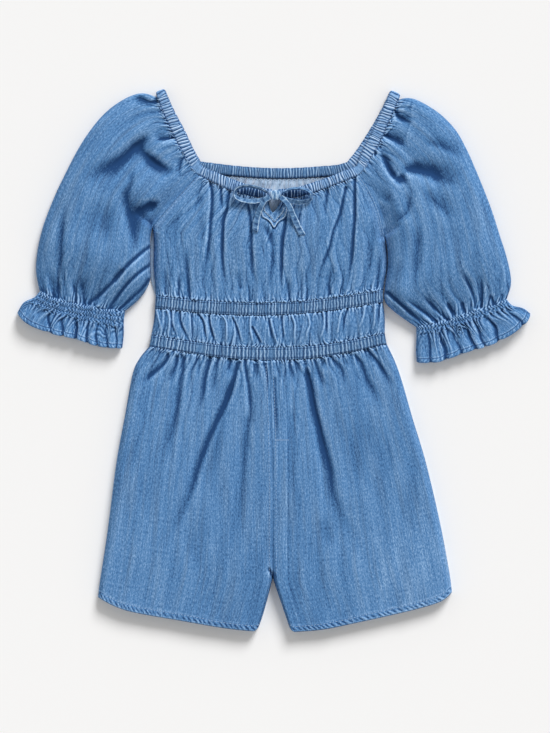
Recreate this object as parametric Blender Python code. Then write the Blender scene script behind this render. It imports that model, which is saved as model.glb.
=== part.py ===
"""A baby's romper in washed chambray, laid flat on its back, at its real size.

The romper is modelled as it is sewn: a gathered bodice with a keyhole and tie bow, puff raglan sleeves that
end in elasticated ruffles, a soft elastic casing round the neck, two elastic casings at the waist with a
gathered midriff between them, and shorts of four panels.

+X is the garment's own left side, +Y runs from the hems to the neck, and +Z is up, off the surface that it
lies on. The back panels lie on that surface and the front panels lie over them. Lengths in the tables are
millimetres; Blender's own unit is the metre.
"""

import bpy
import numpy as np

MM = 0.001

# Driving sizes, in millimetres.
CLOTH = 1.2  # the wall of one layer of cloth
SEAM_GAP = 0.5  # between two pieces at a seam
SEAT = 1.55  # where a front panel's side edge lands, just above the back panel
CASING_WALL = 2.0  # a waist casing: cloth, elastic, cloth
CASING_THICK = 3.0  # a neck casing, flat
GATHER = 0.8  # half the height of a gather at a casing
RIB = 0.45  # half the height of a rib on a casing
TIE_WIDTH = 5.2
TIE_THICK = 1.6

# Heights over the surface that the romper lies on, in millimetres.
WAIST_H = 10.2  # top of a waist casing
WAIST_EDGE_H = 9.2  # a panel's top where it meets a waist casing
NECK_EDGE_H = 9.2  # the bodice's top where it meets the neck casing
BODICE_H = 11.8
MIDRIFF_H = 8.6
SHORTS_H = 12.6
HEM_H = 9.6
NECK_CASING_H = 10.6  # top of the front neck casing, away from its corners
SHOULDER_H = 8.6
SLEEVE_H = 18.0
CUFF_H = 8.6
RUFFLE_H = 9.2
FOLD_H = 4.0  # the middle of a sleeve's folded edge

# Outlines in plan, (x, y) in millimetres, each from its first named end to its second.
# A casing's rows are pairs of points across it: its neck edge first, then the edge that the cloth is sewn to.
CASING_COLUMNS = ("neck_x", "neck_y", "sewn_x", "sewn_y")
SHOULDER_FRONT_R = [
    (-63.0, 166.6, -70.0, 162.5),
    (-68.5, 178.0, -77.3, 174.8),
    (-76.5, 194.5, -85.8, 191.5),
    (-86.0, 213.0, -94.2, 209.8),
    (-91.5, 226.0, -99.3, 223.0),
]
SHOULDER_FRONT_L = [
    (69.5, 166.3, 77.5, 161.7),
    (75.0, 177.0, 83.6, 171.8),
    (81.5, 190.0, 91.0, 186.0),
    (87.5, 203.0, 97.0, 200.0),
    (94.0, 216.0, 102.6, 212.8),
    (97.5, 225.0, 106.2, 221.0),
]
SHOULDER_BACK_R = [
    (-62.6, 168.0, -69.9, 163.2),
    (-68.2, 179.0, -76.9, 175.5),
    (-76.0, 195.5, -85.3, 192.0),
    (-85.5, 213.5, -93.8, 210.2),
    (-91.0, 226.0, -98.8, 223.0),
]
SHOULDER_BACK_L = [
    (64.2, 168.8, 72.0, 163.8),
    (70.2, 178.0, 78.8, 173.0),
    (79.0, 191.4, 88.0, 187.0),
    (86.8, 204.4, 95.7, 200.6),
    (93.6, 217.2, 102.4, 213.2),
    (97.2, 225.0, 106.0, 221.0),
]
NECK_FRONT_R = [
    (-62.6, 166.0, -69.7, 162.0),
    (-60.8, 164.0, -64.9, 157.3),
    (-55.6, 161.7, -57.4, 153.4),
    (-49.0, 159.0, -49.8, 149.6),
    (-34.5, 153.0, -36.3, 143.6),
    (-20.0, 148.0, -20.6, 139.0),
    (-1.5, 144.5, -1.5, 136.0),
]
NECK_FRONT_L = [
    (3.5, 144.5, 3.5, 136.0),
    (19.0, 146.5, 19.6, 137.9),
    (33.0, 150.4, 35.0, 142.4),
    (53.5, 157.8, 56.6, 150.4),
    (60.8, 161.0, 64.8, 153.6),
    (67.2, 163.6, 72.7, 157.3),
    (69.2, 165.7, 77.2, 161.2),
]
NECK_BACK = [
    (-60.8, 168.2, -64.6, 159.6),
    (-34.5, 165.0, -34.9, 156.4),
    (2.0, 162.8, 2.0, 154.2),
    (38.5, 164.3, 38.9, 155.6),
    (62.3, 168.4, 66.4, 159.8),
]

NECK_SEAM = [(-64.6, 157.0), (-57.4, 153.2), (-49.8, 149.4), (-36.3, 143.6), (-20.6, 139.0), (1.0, 136.0),
             (19.6, 137.9), (35.0, 142.4), (56.6, 150.2), (64.8, 153.4), (72.5, 157.0)]
NECK_BACK_SEAM = [(-64.6, 157.0), (-34.9, 156.4), (2.0, 154.2), (38.9, 155.6), (72.5, 157.0)]
RAGLAN_R = [(-64.6, 157.0), (-83.0, 137.0), (-103.0, 113.5)]
RAGLAN_L = [(72.5, 157.0), (82.0, 143.0), (89.5, 125.5), (94.5, 105.0)]
SIDE_R = [(-103.0, 113.5), (-102.0, 97.5), (-102.3, 80.5), (-101.0, 63.5), (-100.5, 54.0)]
BACK_SIDE_R = [(-103.0, 113.5), (-103.8, 97.5), (-104.1, 80.5), (-103.0, 63.5), (-100.5, 54.0)]
BACK_SIDE_L = [(94.5, 105.0), (96.8, 89.0), (96.4, 76.0), (94.4, 64.0), (93.0, 59.0)]
SIDE_L = [(94.5, 105.0), (96.2, 89.0), (95.5, 76.0), (93.5, 66.0), (93.0, 59.0)]

UPPER_CASING_TOP = [(-100.5, 54.0), (-62.5, 50.0), (-33.0, 48.5), (-5.0, 48.0), (31.0, 50.0),
                    (65.0, 54.5), (93.0, 59.0)]
UPPER_CASING_FOOT = [(-101.2, 43.7), (-62.5, 39.8), (-33.0, 38.0), (-5.0, 37.7), (31.0, 39.7),
                     (65.0, 44.0), (93.0, 48.8)]
LOWER_CASING_TOP = [(-104.3, 20.5), (-71.0, 15.2), (-37.0, 11.2), (-3.0, 10.0), (31.0, 11.2),
                    (65.0, 15.8), (94.4, 22.3)]
LOWER_CASING_FOOT = [(-106.0, 11.0), (-71.0, 5.3), (-37.0, 1.0), (-3.0, -0.5), (31.0, 1.0),
                     (65.0, 6.2), (96.0, 13.3)]
MIDRIFF_SIDE_R = [(-101.2, 43.7), (-102.2, 32.0), (-104.3, 20.5)]
MIDRIFF_SIDE_L = [(93.0, 48.8), (94.4, 36.0), (94.4, 22.3)]

SHORTS_SIDE_R = [(-106.0, 11.0), (-114.2, 1.0), (-120.0, -12.0), (-126.4, -46.5), (-133.8, -87.0),
                 (-141.6, -147.0), (-147.8, -187.5), (-149.6, -202.0)]
SHORTS_SIDE_L = [(96.0, 13.3), (103.2, -2.0), (109.0, -18.5), (118.2, -50.5), (129.2, -87.0), (141.0, -137.0),
                 (149.0, -179.0), (151.6, -198.0)]
HEM_R = [(-149.6, -202.0), (-135.0, -209.8), (-116.5, -215.4), (-76.5, -222.4), (-44.0, -228.0),
         (-13.2, -231.0)]
HEM_L = [(14.4, -231.4), (44.5, -229.0), (74.5, -222.8), (114.5, -213.8), (140.5, -206.2), (151.6, -198.0)]
CENTRE_SEAM = [(-4.0, -0.5), (-2.0, -46.5), (-1.0, -102.5), (-1.0, -145.0), (-0.8, -186.0)]
INSEAM_R = [(-0.8, -186.0), (-3.4, -196.0), (-6.6, -208.0), (-9.8, -219.0), (-13.2, -231.0)]
INSEAM_L = [(-0.8, -186.0), (2.4, -196.0), (6.2, -207.0), (9.6, -217.0), (14.4, -231.4)]

OVERARM_R = [(-99.3, 223.0), (-111.0, 226.4), (-122.0, 224.0), (-135.0, 216.6), (-146.5, 206.6),
             (-158.0, 192.2), (-167.5, 177.0), (-177.5, 157.5), (-185.5, 140.8), (-193.5, 121.0),
             (-198.5, 105.0), (-201.5, 89.0), (-202.2, 74.0), (-199.2, 58.0)]
UNDERARM_R = [(-103.0, 113.5), (-104.7, 103.5), (-105.0, 90.0), (-104.9, 77.0), (-105.2, 67.0),
              (-109.8, 57.2), (-117.0, 48.8), (-126.5, 41.0)]
OVERARM_L = [(106.2, 221.0), (113.0, 222.4), (121.0, 221.0), (132.5, 215.0), (143.5, 207.0), (155.0, 194.6),
             (164.0, 178.6), (172.0, 160.6), (180.0, 141.0), (186.2, 124.4), (192.2, 105.4), (197.5, 89.0),
             (201.2, 73.0), (201.5, 62.5), (198.0, 51.0)]
UNDERARM_L = [(94.5, 105.0), (97.6, 91.0), (97.6, 77.0), (95.8, 62.0), (95.4, 50.0), (101.2, 41.6),
              (110.5, 34.6), (121.0, 27.5)]
CUFF_R = [(-199.2, 58.0), (-188.5, 53.0), (-177.0, 49.5), (-156.5, 45.5), (-141.0, 42.5), (-126.5, 41.0)]
CUFF_L = [(121.0, 27.5), (135.5, 30.5), (154.0, 35.5), (178.0, 43.5), (198.0, 51.0)]
RUFFLE_HEM_R = [(-218.8, 38.5), (-210.5, 31.0), (-201.5, 26.4), (-186.0, 21.0), (-167.5, 17.0),
                (-153.0, 12.0), (-141.0, 9.8), (-128.8, 9.2)]
RUFFLE_HEM_L = [(121.4, -3.0), (137.5, -2.6), (148.0, 0.4), (168.0, 7.4), (181.5, 11.2), (198.0, 18.8),
                (213.0, 29.6), (218.8, 38.6)]
RUFFLE_END_OUT_R = [(-199.2, 58.0), (-203.6, 53.0), (-213.0, 48.2), (-218.8, 38.5)]
RUFFLE_END_IN_R = [(-126.5, 41.0), (-127.5, 32.0), (-127.5, 21.5), (-128.8, 9.2)]
RUFFLE_END_IN_L = [(121.0, 27.5), (121.2, 18.0), (120.8, 8.0), (121.4, -3.0)]
RUFFLE_END_OUT_L = [(198.0, 51.0), (203.0, 46.0), (212.0, 43.6), (218.8, 38.6)]

# Large folds. Each is a soft trough along a straight line: ends in plan, half width and depth.
FOLD_COLUMNS = ("x0", "y0", "x1", "y1", "half_width", "depth")
BODICE_FOLDS = [
    (-53.0, 150.0, -56.5, 61.0, 3.0, 2.4),
    (-41.0, 146.0, -41.0, 60.0, 3.0, 2.6),
    (-17.0, 132.0, -17.0, 60.0, 3.0, 2.0),
    (8.5, 120.0, 6.5, 60.0, 3.0, 2.6),
    (57.0, 152.0, 37.5, 61.0, 3.2, 2.4),
    (70.0, 152.0, 64.5, 66.0, 3.0, 2.6),
]
SHORTS_FOLDS_R = [
    (-33.0, -2.0, -72.0, -160.0, 5.0, 2.4),
    (-66.0, 0.0, -96.0, -130.0, 5.0, 2.0),
    (-22.0, -10.0, -16.0, -180.0, 5.0, 1.8),
]
SHORTS_FOLDS_L = [
    (28.0, -4.0, 52.0, -105.0, 5.0, 2.8),
    (50.0, -85.0, 80.0, -175.0, 5.0, 2.4),
    (12.0, -50.0, 13.0, -195.0, 5.0, 2.0),
    (66.0, 0.0, 98.0, -130.0, 5.0, 2.0),
]
SLEEVE_FOLDS_R = [
    (-82.0, 158.0, -112.0, 177.0, 6.0, 3.0),
    (-108.0, 176.0, -158.0, 158.0, 7.0, 3.0),
    (-99.0, 132.0, -124.0, 92.0, 6.0, 4.4),
    (-106.0, 100.0, -156.0, 46.0, 5.5, 4.2),
    (-108.0, 72.0, -142.0, 42.0, 5.0, 3.0),
]
SLEEVE_FOLDS_L = [
    (90.0, 178.0, 103.0, 150.0, 6.0, 4.0),
    (98.0, 156.0, 146.0, 158.0, 7.0, 3.4),
    (114.0, 130.0, 100.0, 108.0, 6.0, 2.6),
    (96.0, 66.0, 142.0, 36.0, 5.5, 3.4),
    (158.0, 78.0, 170.0, 50.0, 5.5, 2.6),
]

# The ties: each one's middle line, (x, y, z) in millimetres, and how far its width leans from flat to
# upright, in radians, at its start, middle and end.
TIES = [
    ("tie_loop_right", [(-4.4, 141.4, 14.4), (-13.0, 145.4, 14.8), (-23.5, 147.2, 15.0), (-31.0, 145.0, 15.0),
                        (-33.4, 140.4, 14.7), (-30.5, 136.4, 14.1), (-22.5, 134.2, 13.5), (-13.0, 134.6, 13.2),
                        (-4.4, 136.9, 13.2)], (0.7, 0.6, 0.3)),
    ("tie_loop_left", [(6.8, 141.4, 14.4), (14.0, 144.4, 14.8), (22.5, 145.0, 15.0), (29.8, 142.6, 15.0),
                       (31.8, 138.2, 14.7), (28.8, 134.6, 14.1), (21.0, 133.6, 13.5), (13.0, 134.8, 13.2),
                       (6.8, 136.9, 13.2)], (0.7, 0.6, 0.3)),
    ("tie_tail_right", [(-3.4, 137.6, 16.0), (-7.0, 134.8, 16.4), (-10.8, 129.8, 15.6), (-13.6, 123.0, 13.2),
                        (-15.4, 114.5, 12.9), (-15.8, 108.0, 12.9)], (0.2, 0.1, 0.0)),
    ("tie_tail_left", [(5.8, 137.6, 16.0), (9.6, 134.4, 16.4), (13.4, 129.0, 15.6), (16.6, 121.5, 13.4),
                       (20.4, 113.0, 13.1), (24.6, 104.8, 13.1)], (0.2, 0.1, 0.0)),
]

# How many gathers or ribs run along each piece.
BODICE_GATHERS = 18
MIDRIFF_GATHERS = 14
SHORTS_GATHERS = 6
WAIST_RIBS = 32
NECK_FRONT_RIBS = 9
NECK_BACK_RIBS = 16
SHOULDER_RIBS = 7
RUFFLE_WAVES = 9
CUFF_GATHERS = 6

DENIM = (0.115, 0.245, 0.475, 1.0)
DENIM_DARK = (0.085, 0.19, 0.40, 1.0)
DENIM_INSIDE = (0.36, 0.47, 0.60, 1.0)


# ---------------------------------------------------------------- curves and patches in plan


def curve(*parts):
    """A function of t, 0 to 1, along one or more smooth curves through the given points, end to end."""
    pieces = []
    for points in parts:
        p = np.asarray(points, float)
        ends = np.vstack([2 * p[0] - p[1], p, 2 * p[-1] - p[-2]])
        t = np.linspace(0, 1, 12, endpoint=False)[:, None]
        for a, b, c, d in zip(ends[:-3], ends[1:-2], ends[2:-1], ends[3:]):
            pieces.append(b + 0.5 * t * (c - a + t * (2 * a - 5 * b + 4 * c - d + t * (3 * (b - c) + d - a))))
    line = np.vstack([*pieces, p[-1:]])
    steps = np.linalg.norm(np.diff(line, axis=0), axis=1)
    along = np.concatenate([[0.0], np.cumsum(steps)])

    def at(t):
        s = np.asarray(t, float) * along[-1]
        return np.stack([np.interp(s, along, line[:, k]) for k in range(2)], axis=-1)

    at.length = along[-1]
    return at


def patch(head, foot, start, end):
    """The Coons patch between four curves: u runs along head and foot, and v along start and end, from head to
    foot."""

    def plan(u, v):
        u, v = np.broadcast_arrays(np.asarray(u, float), np.asarray(v, float))
        a, b = u[..., None], v[..., None]
        along = (1 - b) * head(u) + b * foot(u)
        across = (1 - a) * start(v) + a * end(v)
        corners = (1 - b) * ((1 - a) * head(0.0) + a * head(1.0)) + b * ((1 - a) * foot(0.0) + a * foot(1.0))
        return along + across - corners

    return plan


def row_width(plan, v):
    """The width of the patch at each v, end to end."""
    return np.linalg.norm(plan(np.ones_like(v), v) - plan(np.zeros_like(v), v), axis=-1)


def parted(grid, gap=SEAM_GAP / 2, sides=(True, True, True, True)):
    """The plan grid with its first and last rows and columns drawn in by gap, so that sewn pieces don't
    touch."""
    moved = grid.copy()
    edges = (np.s_[0], np.s_[-1], np.s_[:, 0], np.s_[:, -1])
    neighbours = (np.s_[1], np.s_[-2], np.s_[:, 1], np.s_[:, -2])
    for wanted, edge, inside in zip(sides, edges, neighbours):
        if wanted:
            inward = grid[inside] - grid[edge]
            inward /= np.linalg.norm(inward, axis=-1, keepdims=True)
            along = np.gradient(grid[edge], axis=0)
            along /= np.maximum(np.linalg.norm(along, axis=-1, keepdims=True), 1e-9)
            square = np.abs(inward[:, 0] * along[:, 1] - inward[:, 1] * along[:, 0])
            moved[edge] += gap * inward / np.maximum(square, 0.4)[:, None]
    return moved


def rounded(share):
    """A quarter circle: 0 at the fold, and 1 from share 1 on."""
    rest = 1 - np.clip(share, 0, 1)
    return np.sqrt(1 - rest * rest)


def eased(share):
    """A smooth step from 0 to 1."""
    t = np.clip(share, 0, 1)
    return t * t * (3 - 2 * t)


def swell(v, *stops):
    """A height that passes smoothly through its (v, height) stops, level at each of them."""
    places, heights = zip(*stops)
    count = np.interp(v, places, range(len(places)))
    whole = np.floor(count)
    return np.interp(whole + eased(count - whole), range(len(places)), heights)


def troughs(xy, folds):
    """The depth of the soft troughs at each point: a bell across each fold that fades in and out at its
    ends."""
    depth = np.zeros(xy.shape[:-1])
    for row in folds:
        fold = dict(zip(FOLD_COLUMNS, row))
        start = np.array([fold["x0"], fold["y0"]])
        run = np.array([fold["x1"], fold["y1"]]) - start
        length = np.hypot(*run)
        along = ((xy - start) @ run) / length**2
        across = ((xy - start) @ np.array([-run[1], run[0]])) / length
        ends = eased(along * 4) * eased((1 - along) * 4)
        depth += fold["depth"] * np.exp(-((across / fold["half_width"]) ** 2)) * ends
    return depth


# ---------------------------------------------------------------- meshes


def material(name, colour):
    made = bpy.data.materials.new(name)
    made.use_nodes = True
    shader = made.node_tree.nodes["Principled BSDF"]
    shader.inputs["Base Color"].default_value = colour
    shader.inputs["Roughness"].default_value = 0.9
    shader.inputs["Metallic"].default_value = 0.0
    made.diffuse_color = colour
    return made


def object_from(name, points, faces, finish):
    """One named object from points in millimetres, parented to the romper's own empty."""
    mesh = bpy.data.meshes.new(name)
    mesh.from_pydata((np.asarray(points) * MM).tolist(), [], [list(map(int, f)) for f in faces])
    mesh.materials.append(finish)
    mesh.shade_smooth()
    made = bpy.data.objects.new(name, mesh)
    bpy.context.scene.collection.objects.link(made)
    made.parent = ROMPER
    return made


def grid_faces(ids, wrap=False):
    """The quads between neighbouring rows and columns of point numbers. They face up where u runs to +X and
    v to -Y."""
    right = np.roll(ids, -1, axis=1) if wrap else ids[:, 1:]
    left = ids if wrap else ids[:, :-1]
    quads = np.stack([left[:-1], left[1:], right[1:], right[:-1]], axis=-1)
    return quads.reshape(-1, 4)


def wall(name, outer, inner, quads, finish):
    """A closed wall: the outer surface, the inner one turned round, and a rim along each open edge."""
    count = len(outer)
    edges = {(a, b) for f in quads for a, b in zip(f, np.roll(f, -1))}
    rims = [(b, a, a + count, b + count) for a, b in sorted(edges) if (b, a) not in edges]
    faces = [*quads, *(quads[:, ::-1] + count), *rims]
    return object_from(name, np.vstack([outer, inner]), faces, finish)


def bar(name, rings, finish):
    """A solid bar through its closed rings, capped at both ends."""
    rows, around, _ = rings.shape
    ids = np.arange(rows * around).reshape(rows, around)
    faces = [*grid_faces(ids, wrap=True).tolist(), ids[0].tolist(), ids[-1][::-1].tolist()]
    made = object_from(name, rings.reshape(-1, 3), faces, finish)
    face_outwards(made)
    return made


def face_outwards(made):
    """Turns the whole closed mesh round if its faces point inwards."""
    mesh = made.data
    points = np.array([v.co for v in mesh.vertices])
    a, b, c = points[[t.vertices[:] for t in triangles_of(mesh)]].transpose(1, 0, 2)
    volume = np.sum(a * np.cross(b, c))
    if volume < 0:
        mesh.flip_normals()


def triangles_of(mesh):
    mesh.calc_loop_triangles()
    return mesh.loop_triangles


def space(xy, z):
    """Points from a plan and heights."""
    return np.concatenate([xy, z[..., None]], axis=-1)


# ---------------------------------------------------------------- panels


def front_panel(name, plan, us, vs, height, gathers, folds, start_edge, end_edge, finish, keyhole=None):
    """A front panel over its patch. height(v) is its top away from its sides, gathers(u, v) is added to its
    outside, and start_edge and end_edge give each side's own top, how far it is seated on the back panel (1
    or 0), and how far in it swells."""
    u, v = np.meshgrid(us, vs)
    xy = parted(plan(u, v))
    width = row_width(plan, v)
    across = (plan(np.ones_like(v), v) - plan(np.zeros_like(v), v)) / width[..., None]
    base = height(v)
    landing = np.zeros_like(u)
    swollen = np.ones_like(u)
    shift = np.zeros_like(xy)
    for distance, edge, inward in ((u * width, start_edge, across), ((1 - u) * width, end_edge, -across)):
        top, seated, reach = edge(v)
        rise = rounded(distance / reach)
        base = np.minimum(base, top + (height(v) - top) * rise)
        swollen = np.minimum(swollen, rise)
        landing = np.maximum(landing, seated * np.clip(1 - distance / 6, 0, 1))
        shift += (CLOTH * seated * np.clip(1 - distance / 14, 0, 1))[..., None] * inward
    base = base - troughs(xy, folds) * swollen
    outer = space(xy, base + gathers(u, v) * eased(swollen * 1.6 - 0.5))
    inner = space(xy + shift, np.maximum(base - CLOTH * (1 - landing), SEAT))
    ids = np.arange(u.size).reshape(u.shape)
    quads = grid_faces(ids)
    if keyhole:
        outer, inner, quads = with_keyhole(outer, inner, keyhole)
    return wall(name, outer.reshape(-1, 3), inner.reshape(-1, 3), quads, finish)


def with_keyhole(outer, inner, keyhole):
    """Parts the column nearest the keyhole over its first rows, and draws the two edges apart in a V."""
    column = int(np.argmin(np.abs(outer[0, :, 0] - keyhole["x"])))
    rows = np.arange(len(outer))
    open_by = keyhole["half_width"] * np.clip(1 - rows / keyhole["rows"], 0, 1)
    away = np.abs(outer[..., 0] - outer[:, column, 0][:, None])
    slide = open_by[:, None] * np.clip(1 - away / keyhole["eases_over"], 0, 1)

    def opened(points):
        """The points left and right of the parted column, which is in both."""
        left, right = points[:, : column + 1].copy(), points[:, column:].copy()
        left[..., 0] -= slide[:, : column + 1]
        right[..., 0] += slide[:, column:]
        return np.concatenate([left, right], axis=1)

    outer, inner = opened(outer), opened(inner)
    ids = np.arange(outer.shape[0] * outer.shape[1]).reshape(outer.shape[:2])
    ids[keyhole["rows"]:, column + 1] = ids[keyhole["rows"]:, column]
    quads = np.vstack([grid_faces(ids[:, : column + 1]), grid_faces(ids[:, column + 1:])])
    used, quads = np.unique(quads, return_inverse=True)
    return outer.reshape(-1, 3)[used], inner.reshape(-1, 3)[used], quads.reshape(-1, 4)


def back_panel(name, plan, columns, rows, finish):
    """A back panel: one flat layer on the surface."""
    u, v = np.meshgrid(np.linspace(0, 1, columns), np.linspace(0, 1, rows))
    xy = parted(plan(u, v))
    quads = grid_faces(np.arange(u.size).reshape(u.shape))
    top = space(xy, np.full(u.shape, CLOTH)).reshape(-1, 3)
    under = space(xy, np.zeros(u.shape)).reshape(-1, 3)
    return wall(name, top, under, quads, finish)


def seated_edge(v):
    """A side seam: the edge turns down on to the back panel."""
    return SEAT + 0 * v, np.ones_like(v), 7.0 + 0 * v


# ---------------------------------------------------------------- tubes


def fold_edge(middle, reach):
    """A closed side of a tube: middle(v) is the height of its fold, and reach(v) how far in it swells."""

    def edge(v):
        half = middle(v)
        return {"top": 1.3 * half, "low": 0.7 * half, "in_top": 1.12 * half, "in_low": 0.88 * half,
                "drawn_in": 1 + 0 * v, "reach": reach(v)}

    return edge


def raglan_top(above):
    """The height of the raglan seam on the front, at a distance above the armpit."""
    return 1.3 * FOLD_H + (SHOULDER_H - 1.3 * FOLD_H) * rounded(above / 22)


def armhole_edge(middle, reach, pit, length):
    """A sleeve's inner side: open along the raglan seams down to the armpit, at v = pit, then a closed
    fold."""

    def edge(v):
        closed = fold_edge(middle, reach)(v)
        above = (pit - v) * length
        low = 0.7 * FOLD_H * (1 - eased(above / 14))
        top = raglan_top(above)
        opened = {"top": top, "low": low, "in_top": top - CLOTH, "in_low": low + CLOTH, "drawn_in": 0 * v,
                  "reach": reach(v)}
        return {key: np.where(above > 0.01, opened[key], closed[key]) for key in closed}

    return edge


def tube(name, plan, shares, vs, height, start_edge, end_edge, relief, folds, thick, finish, open_rows=0):
    """A flattened tube that lies on the surface: over the top from its start side to its end side, then back
    underneath. shares holds each column's u for those two runs, height(v) is its top, and relief(u, v) is
    added to the outside of the top layer. The end side is open over the first open_rows rows."""
    share = np.concatenate(shares)
    u, v = np.meshgrid(share, vs)
    on_top = np.broadcast_to(np.arange(len(share)) < len(shares[0]), u.shape)
    width = row_width(plan, v)
    start, end = start_edge(v), end_edge(v)
    from_start, from_end = u * width, (1 - u) * width
    nearer_start = from_start < from_end
    rise = np.minimum(rounded(from_start / start["reach"]), rounded(from_end / end["reach"]))
    flat = rounded(np.minimum(from_start, from_end) / 3.0)
    side = {key: np.where(nearer_start, start[key], end[key]) for key in start}

    def layer(prefix, inside):
        """The outer surface, or the inner one that lies a wall's thickness inside it."""
        drawn = inside * thick
        from_sides = drawn * start["drawn_in"], drawn * end["drawn_in"]
        along = (from_sides[0] + u * (width - sum(from_sides))) / width
        xy = parted(plan(along, v), sides=(True, True, not inside, not inside))
        side_top, side_low = side[prefix + "top"], side[prefix + "low"]
        top = side_top + (height(v) - drawn - side_top) * rise - troughs(xy, folds) * rise
        low = side_low + (drawn - side_low) * flat
        return xy, top, low

    xy, top, low = layer("", 0)
    outer = space(xy, np.where(on_top, top + relief(u, v) * rise, low))
    xy, top, low = layer("in_", 1)
    inner = space(xy, np.where(on_top, top, low))
    quads = grid_faces(np.arange(u.size).reshape(u.shape), wrap=True).reshape(len(vs) - 1, len(share), 4)
    keep = np.ones(quads.shape[:2], bool)
    keep[:open_rows, len(shares[0]) - 1] = False
    made = wall(name, outer.reshape(-1, 3), inner.reshape(-1, 3), quads[keep], finish)
    face_outwards(made)
    return made


def casing_ring(name, head, foot, finish):
    """A waist casing: a flattened ring of cloth round elastic, ribbed over its top layer."""
    plan = patch(curve(head), curve(foot), curve([head[0], foot[0]]), curve([head[-1], foot[-1]]))
    plain = 0.014
    ribbed = np.linspace(plain, 1 - plain, 2 * WAIST_RIBS + 1)
    shares = (np.concatenate([[0, 0.004], ribbed, [0.996, 1]]),
              np.concatenate([[1, 0.985], np.linspace(0.94, 0.06, 11), [0.015, 0]]))

    def ribs(u, v):
        return RIB * (1 - np.cos(2 * np.pi * WAIST_RIBS * (u - plain) / (1 - 2 * plain)))

    side = fold_edge(lambda v: 0.5 * WAIST_H + 0 * v, lambda v: 6.0 + 0 * v)
    top = lambda v: WAIST_H - 2 * RIB + 0 * v
    return tube(name, plan, shares, np.array([0, 0.5, 1]), top, side, side, ribs, [], CASING_WALL, finish)


# ---------------------------------------------------------------- flat casings and ties


def rails(rows):
    """The two edges of a casing as functions of one shared share, so that each row's points stay a pair."""
    rows = np.asarray([[row[CASING_COLUMNS.index(c)] for c in CASING_COLUMNS] for row in rows], float)
    middle = (rows[:, :2] + rows[:, 2:]) / 2
    along = np.concatenate([[0], np.cumsum(np.linalg.norm(np.diff(middle, axis=0), axis=1))])
    slopes = np.gradient(rows, along, axis=0)

    def at(share):
        """Cubic steps between the rows, with the slope at each row taken from its neighbours."""
        s = np.asarray(share, float) * along[-1]
        k = np.clip(np.searchsorted(along, s, side="right") - 1, 0, len(along) - 2)
        step = along[k + 1] - along[k]
        t, step = ((s - along[k]) / step)[..., None], step[..., None]
        value = ((1 + 2 * t) * (1 - t) ** 2 * rows[k] + t * (1 - t) ** 2 * step * slopes[k]
                 + t**2 * (3 - 2 * t) * rows[k + 1] - t**2 * (1 - t) * step * slopes[k + 1])
        return value[..., :2], value[..., 2:]

    return at


def apart(a, b, trim_start=True, trim_end=True):
    """The band's two edges, drawn in by half a seam's gap, and its ends too where they are trimmed."""
    half = SEAM_GAP / 2
    across = (b - a) / np.linalg.norm(b - a, axis=-1, keepdims=True)
    a, b = a + across * half, b - across * half
    for wanted, end, inside in ((trim_start, 0, 1), (trim_end, -1, -2)):
        for edge in (a, b):
            if wanted:
                inward = edge[inside] - edge[end]
                edge[end] += half * inward / np.linalg.norm(inward)
    return a, b


def band_rings(a, b, z, up, outer_rib, inner_rib):
    """Closed rings of a flat band. a and b are its two edges in plan, z its middle height, and up the
    direction that its outer face looks in, one row for each ring."""
    half = CASING_THICK / 2
    top = [space(a + (b - a) * share, z) + up * (half + outer_rib)[:, None] for share in (0.0, 0.5, 1.0)]
    under = [space(a + (b - a) * share, z) - up * (half + inner_rib)[:, None] for share in (1.0, 0.5, 0.0)]
    return np.stack(top + under, axis=1)


def rib_heights(stations, plain=1):
    """Alternate low and high stations, with plain ones at each end."""
    k = np.arange(stations)
    return RIB * (1 - np.cos(np.pi * (k - plain))) * (k >= plain) * (k < stations - plain)


def neck_band(name, rows, ribs, z, finish):
    """A flat neck casing. z is a function of its length share, for the middle of its thickness."""
    stations = np.linspace(0, 1, 2 * ribs + 3)
    a, b = apart(*rails(rows)(stations))
    up = np.tile([0.0, 0.0, 1.0], (len(stations), 1))
    rib = rib_heights(len(stations))
    return bar(name, band_rings(a, b, z(stations), up, rib, 0 * rib), finish)


def shoulder_band(name, front, back, finish):
    """The casing over a shoulder: up the front half, over in a fold, and down the back half underneath."""
    high, low = SHOULDER_H - CASING_THICK / 2, CASING_THICK / 2
    radius = (high - low) / 2
    count = 2 * SHOULDER_RIBS + 1
    stations = np.linspace(0, 1, count)
    front_a, front_b = apart(*rails(front)(stations), trim_end=False)
    back_a, back_b = apart(*rails(back)(stations), trim_end=False)
    across = (front_b[-1] - front_a[-1]) / np.linalg.norm(front_b[-1] - front_a[-1])
    out = np.array([across[1], -across[0]])
    out *= np.sign(out @ (front_a[-1] - front_a[-3]))
    turn = np.linspace(0, np.pi, 7)[1:-1]
    reach = (radius * np.sin(turn))[:, None] * out
    mix = ((1 - np.cos(turn)) / 2)[:, None]
    fold_a = (1 - mix) * front_a[-1] + mix * back_a[-1] + reach
    fold_b = (1 - mix) * front_b[-1] + mix * back_b[-1] + reach
    a = np.vstack([front_a, fold_a, back_a[::-1]])
    b = np.vstack([front_b, fold_b, back_b[::-1]])
    z = np.concatenate([np.full(count, high), (high + low) / 2 + radius * np.cos(turn), np.full(count, low)])
    up = np.vstack([
        np.tile([0.0, 0.0, 1.0], (count, 1)),
        np.column_stack([np.sin(turn)[:, None] * out, np.cos(turn)]),
        np.tile([0.0, 0.0, -1.0], (count, 1)),
    ])
    rib, plain = rib_heights(count), np.zeros(len(turn))
    outer_rib = np.concatenate([rib, plain, 0 * rib])
    inner_rib = np.concatenate([0 * rib, plain, rib[::-1]])
    return bar(name, band_rings(a, b, z, up, outer_rib, inner_rib), finish)


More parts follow.
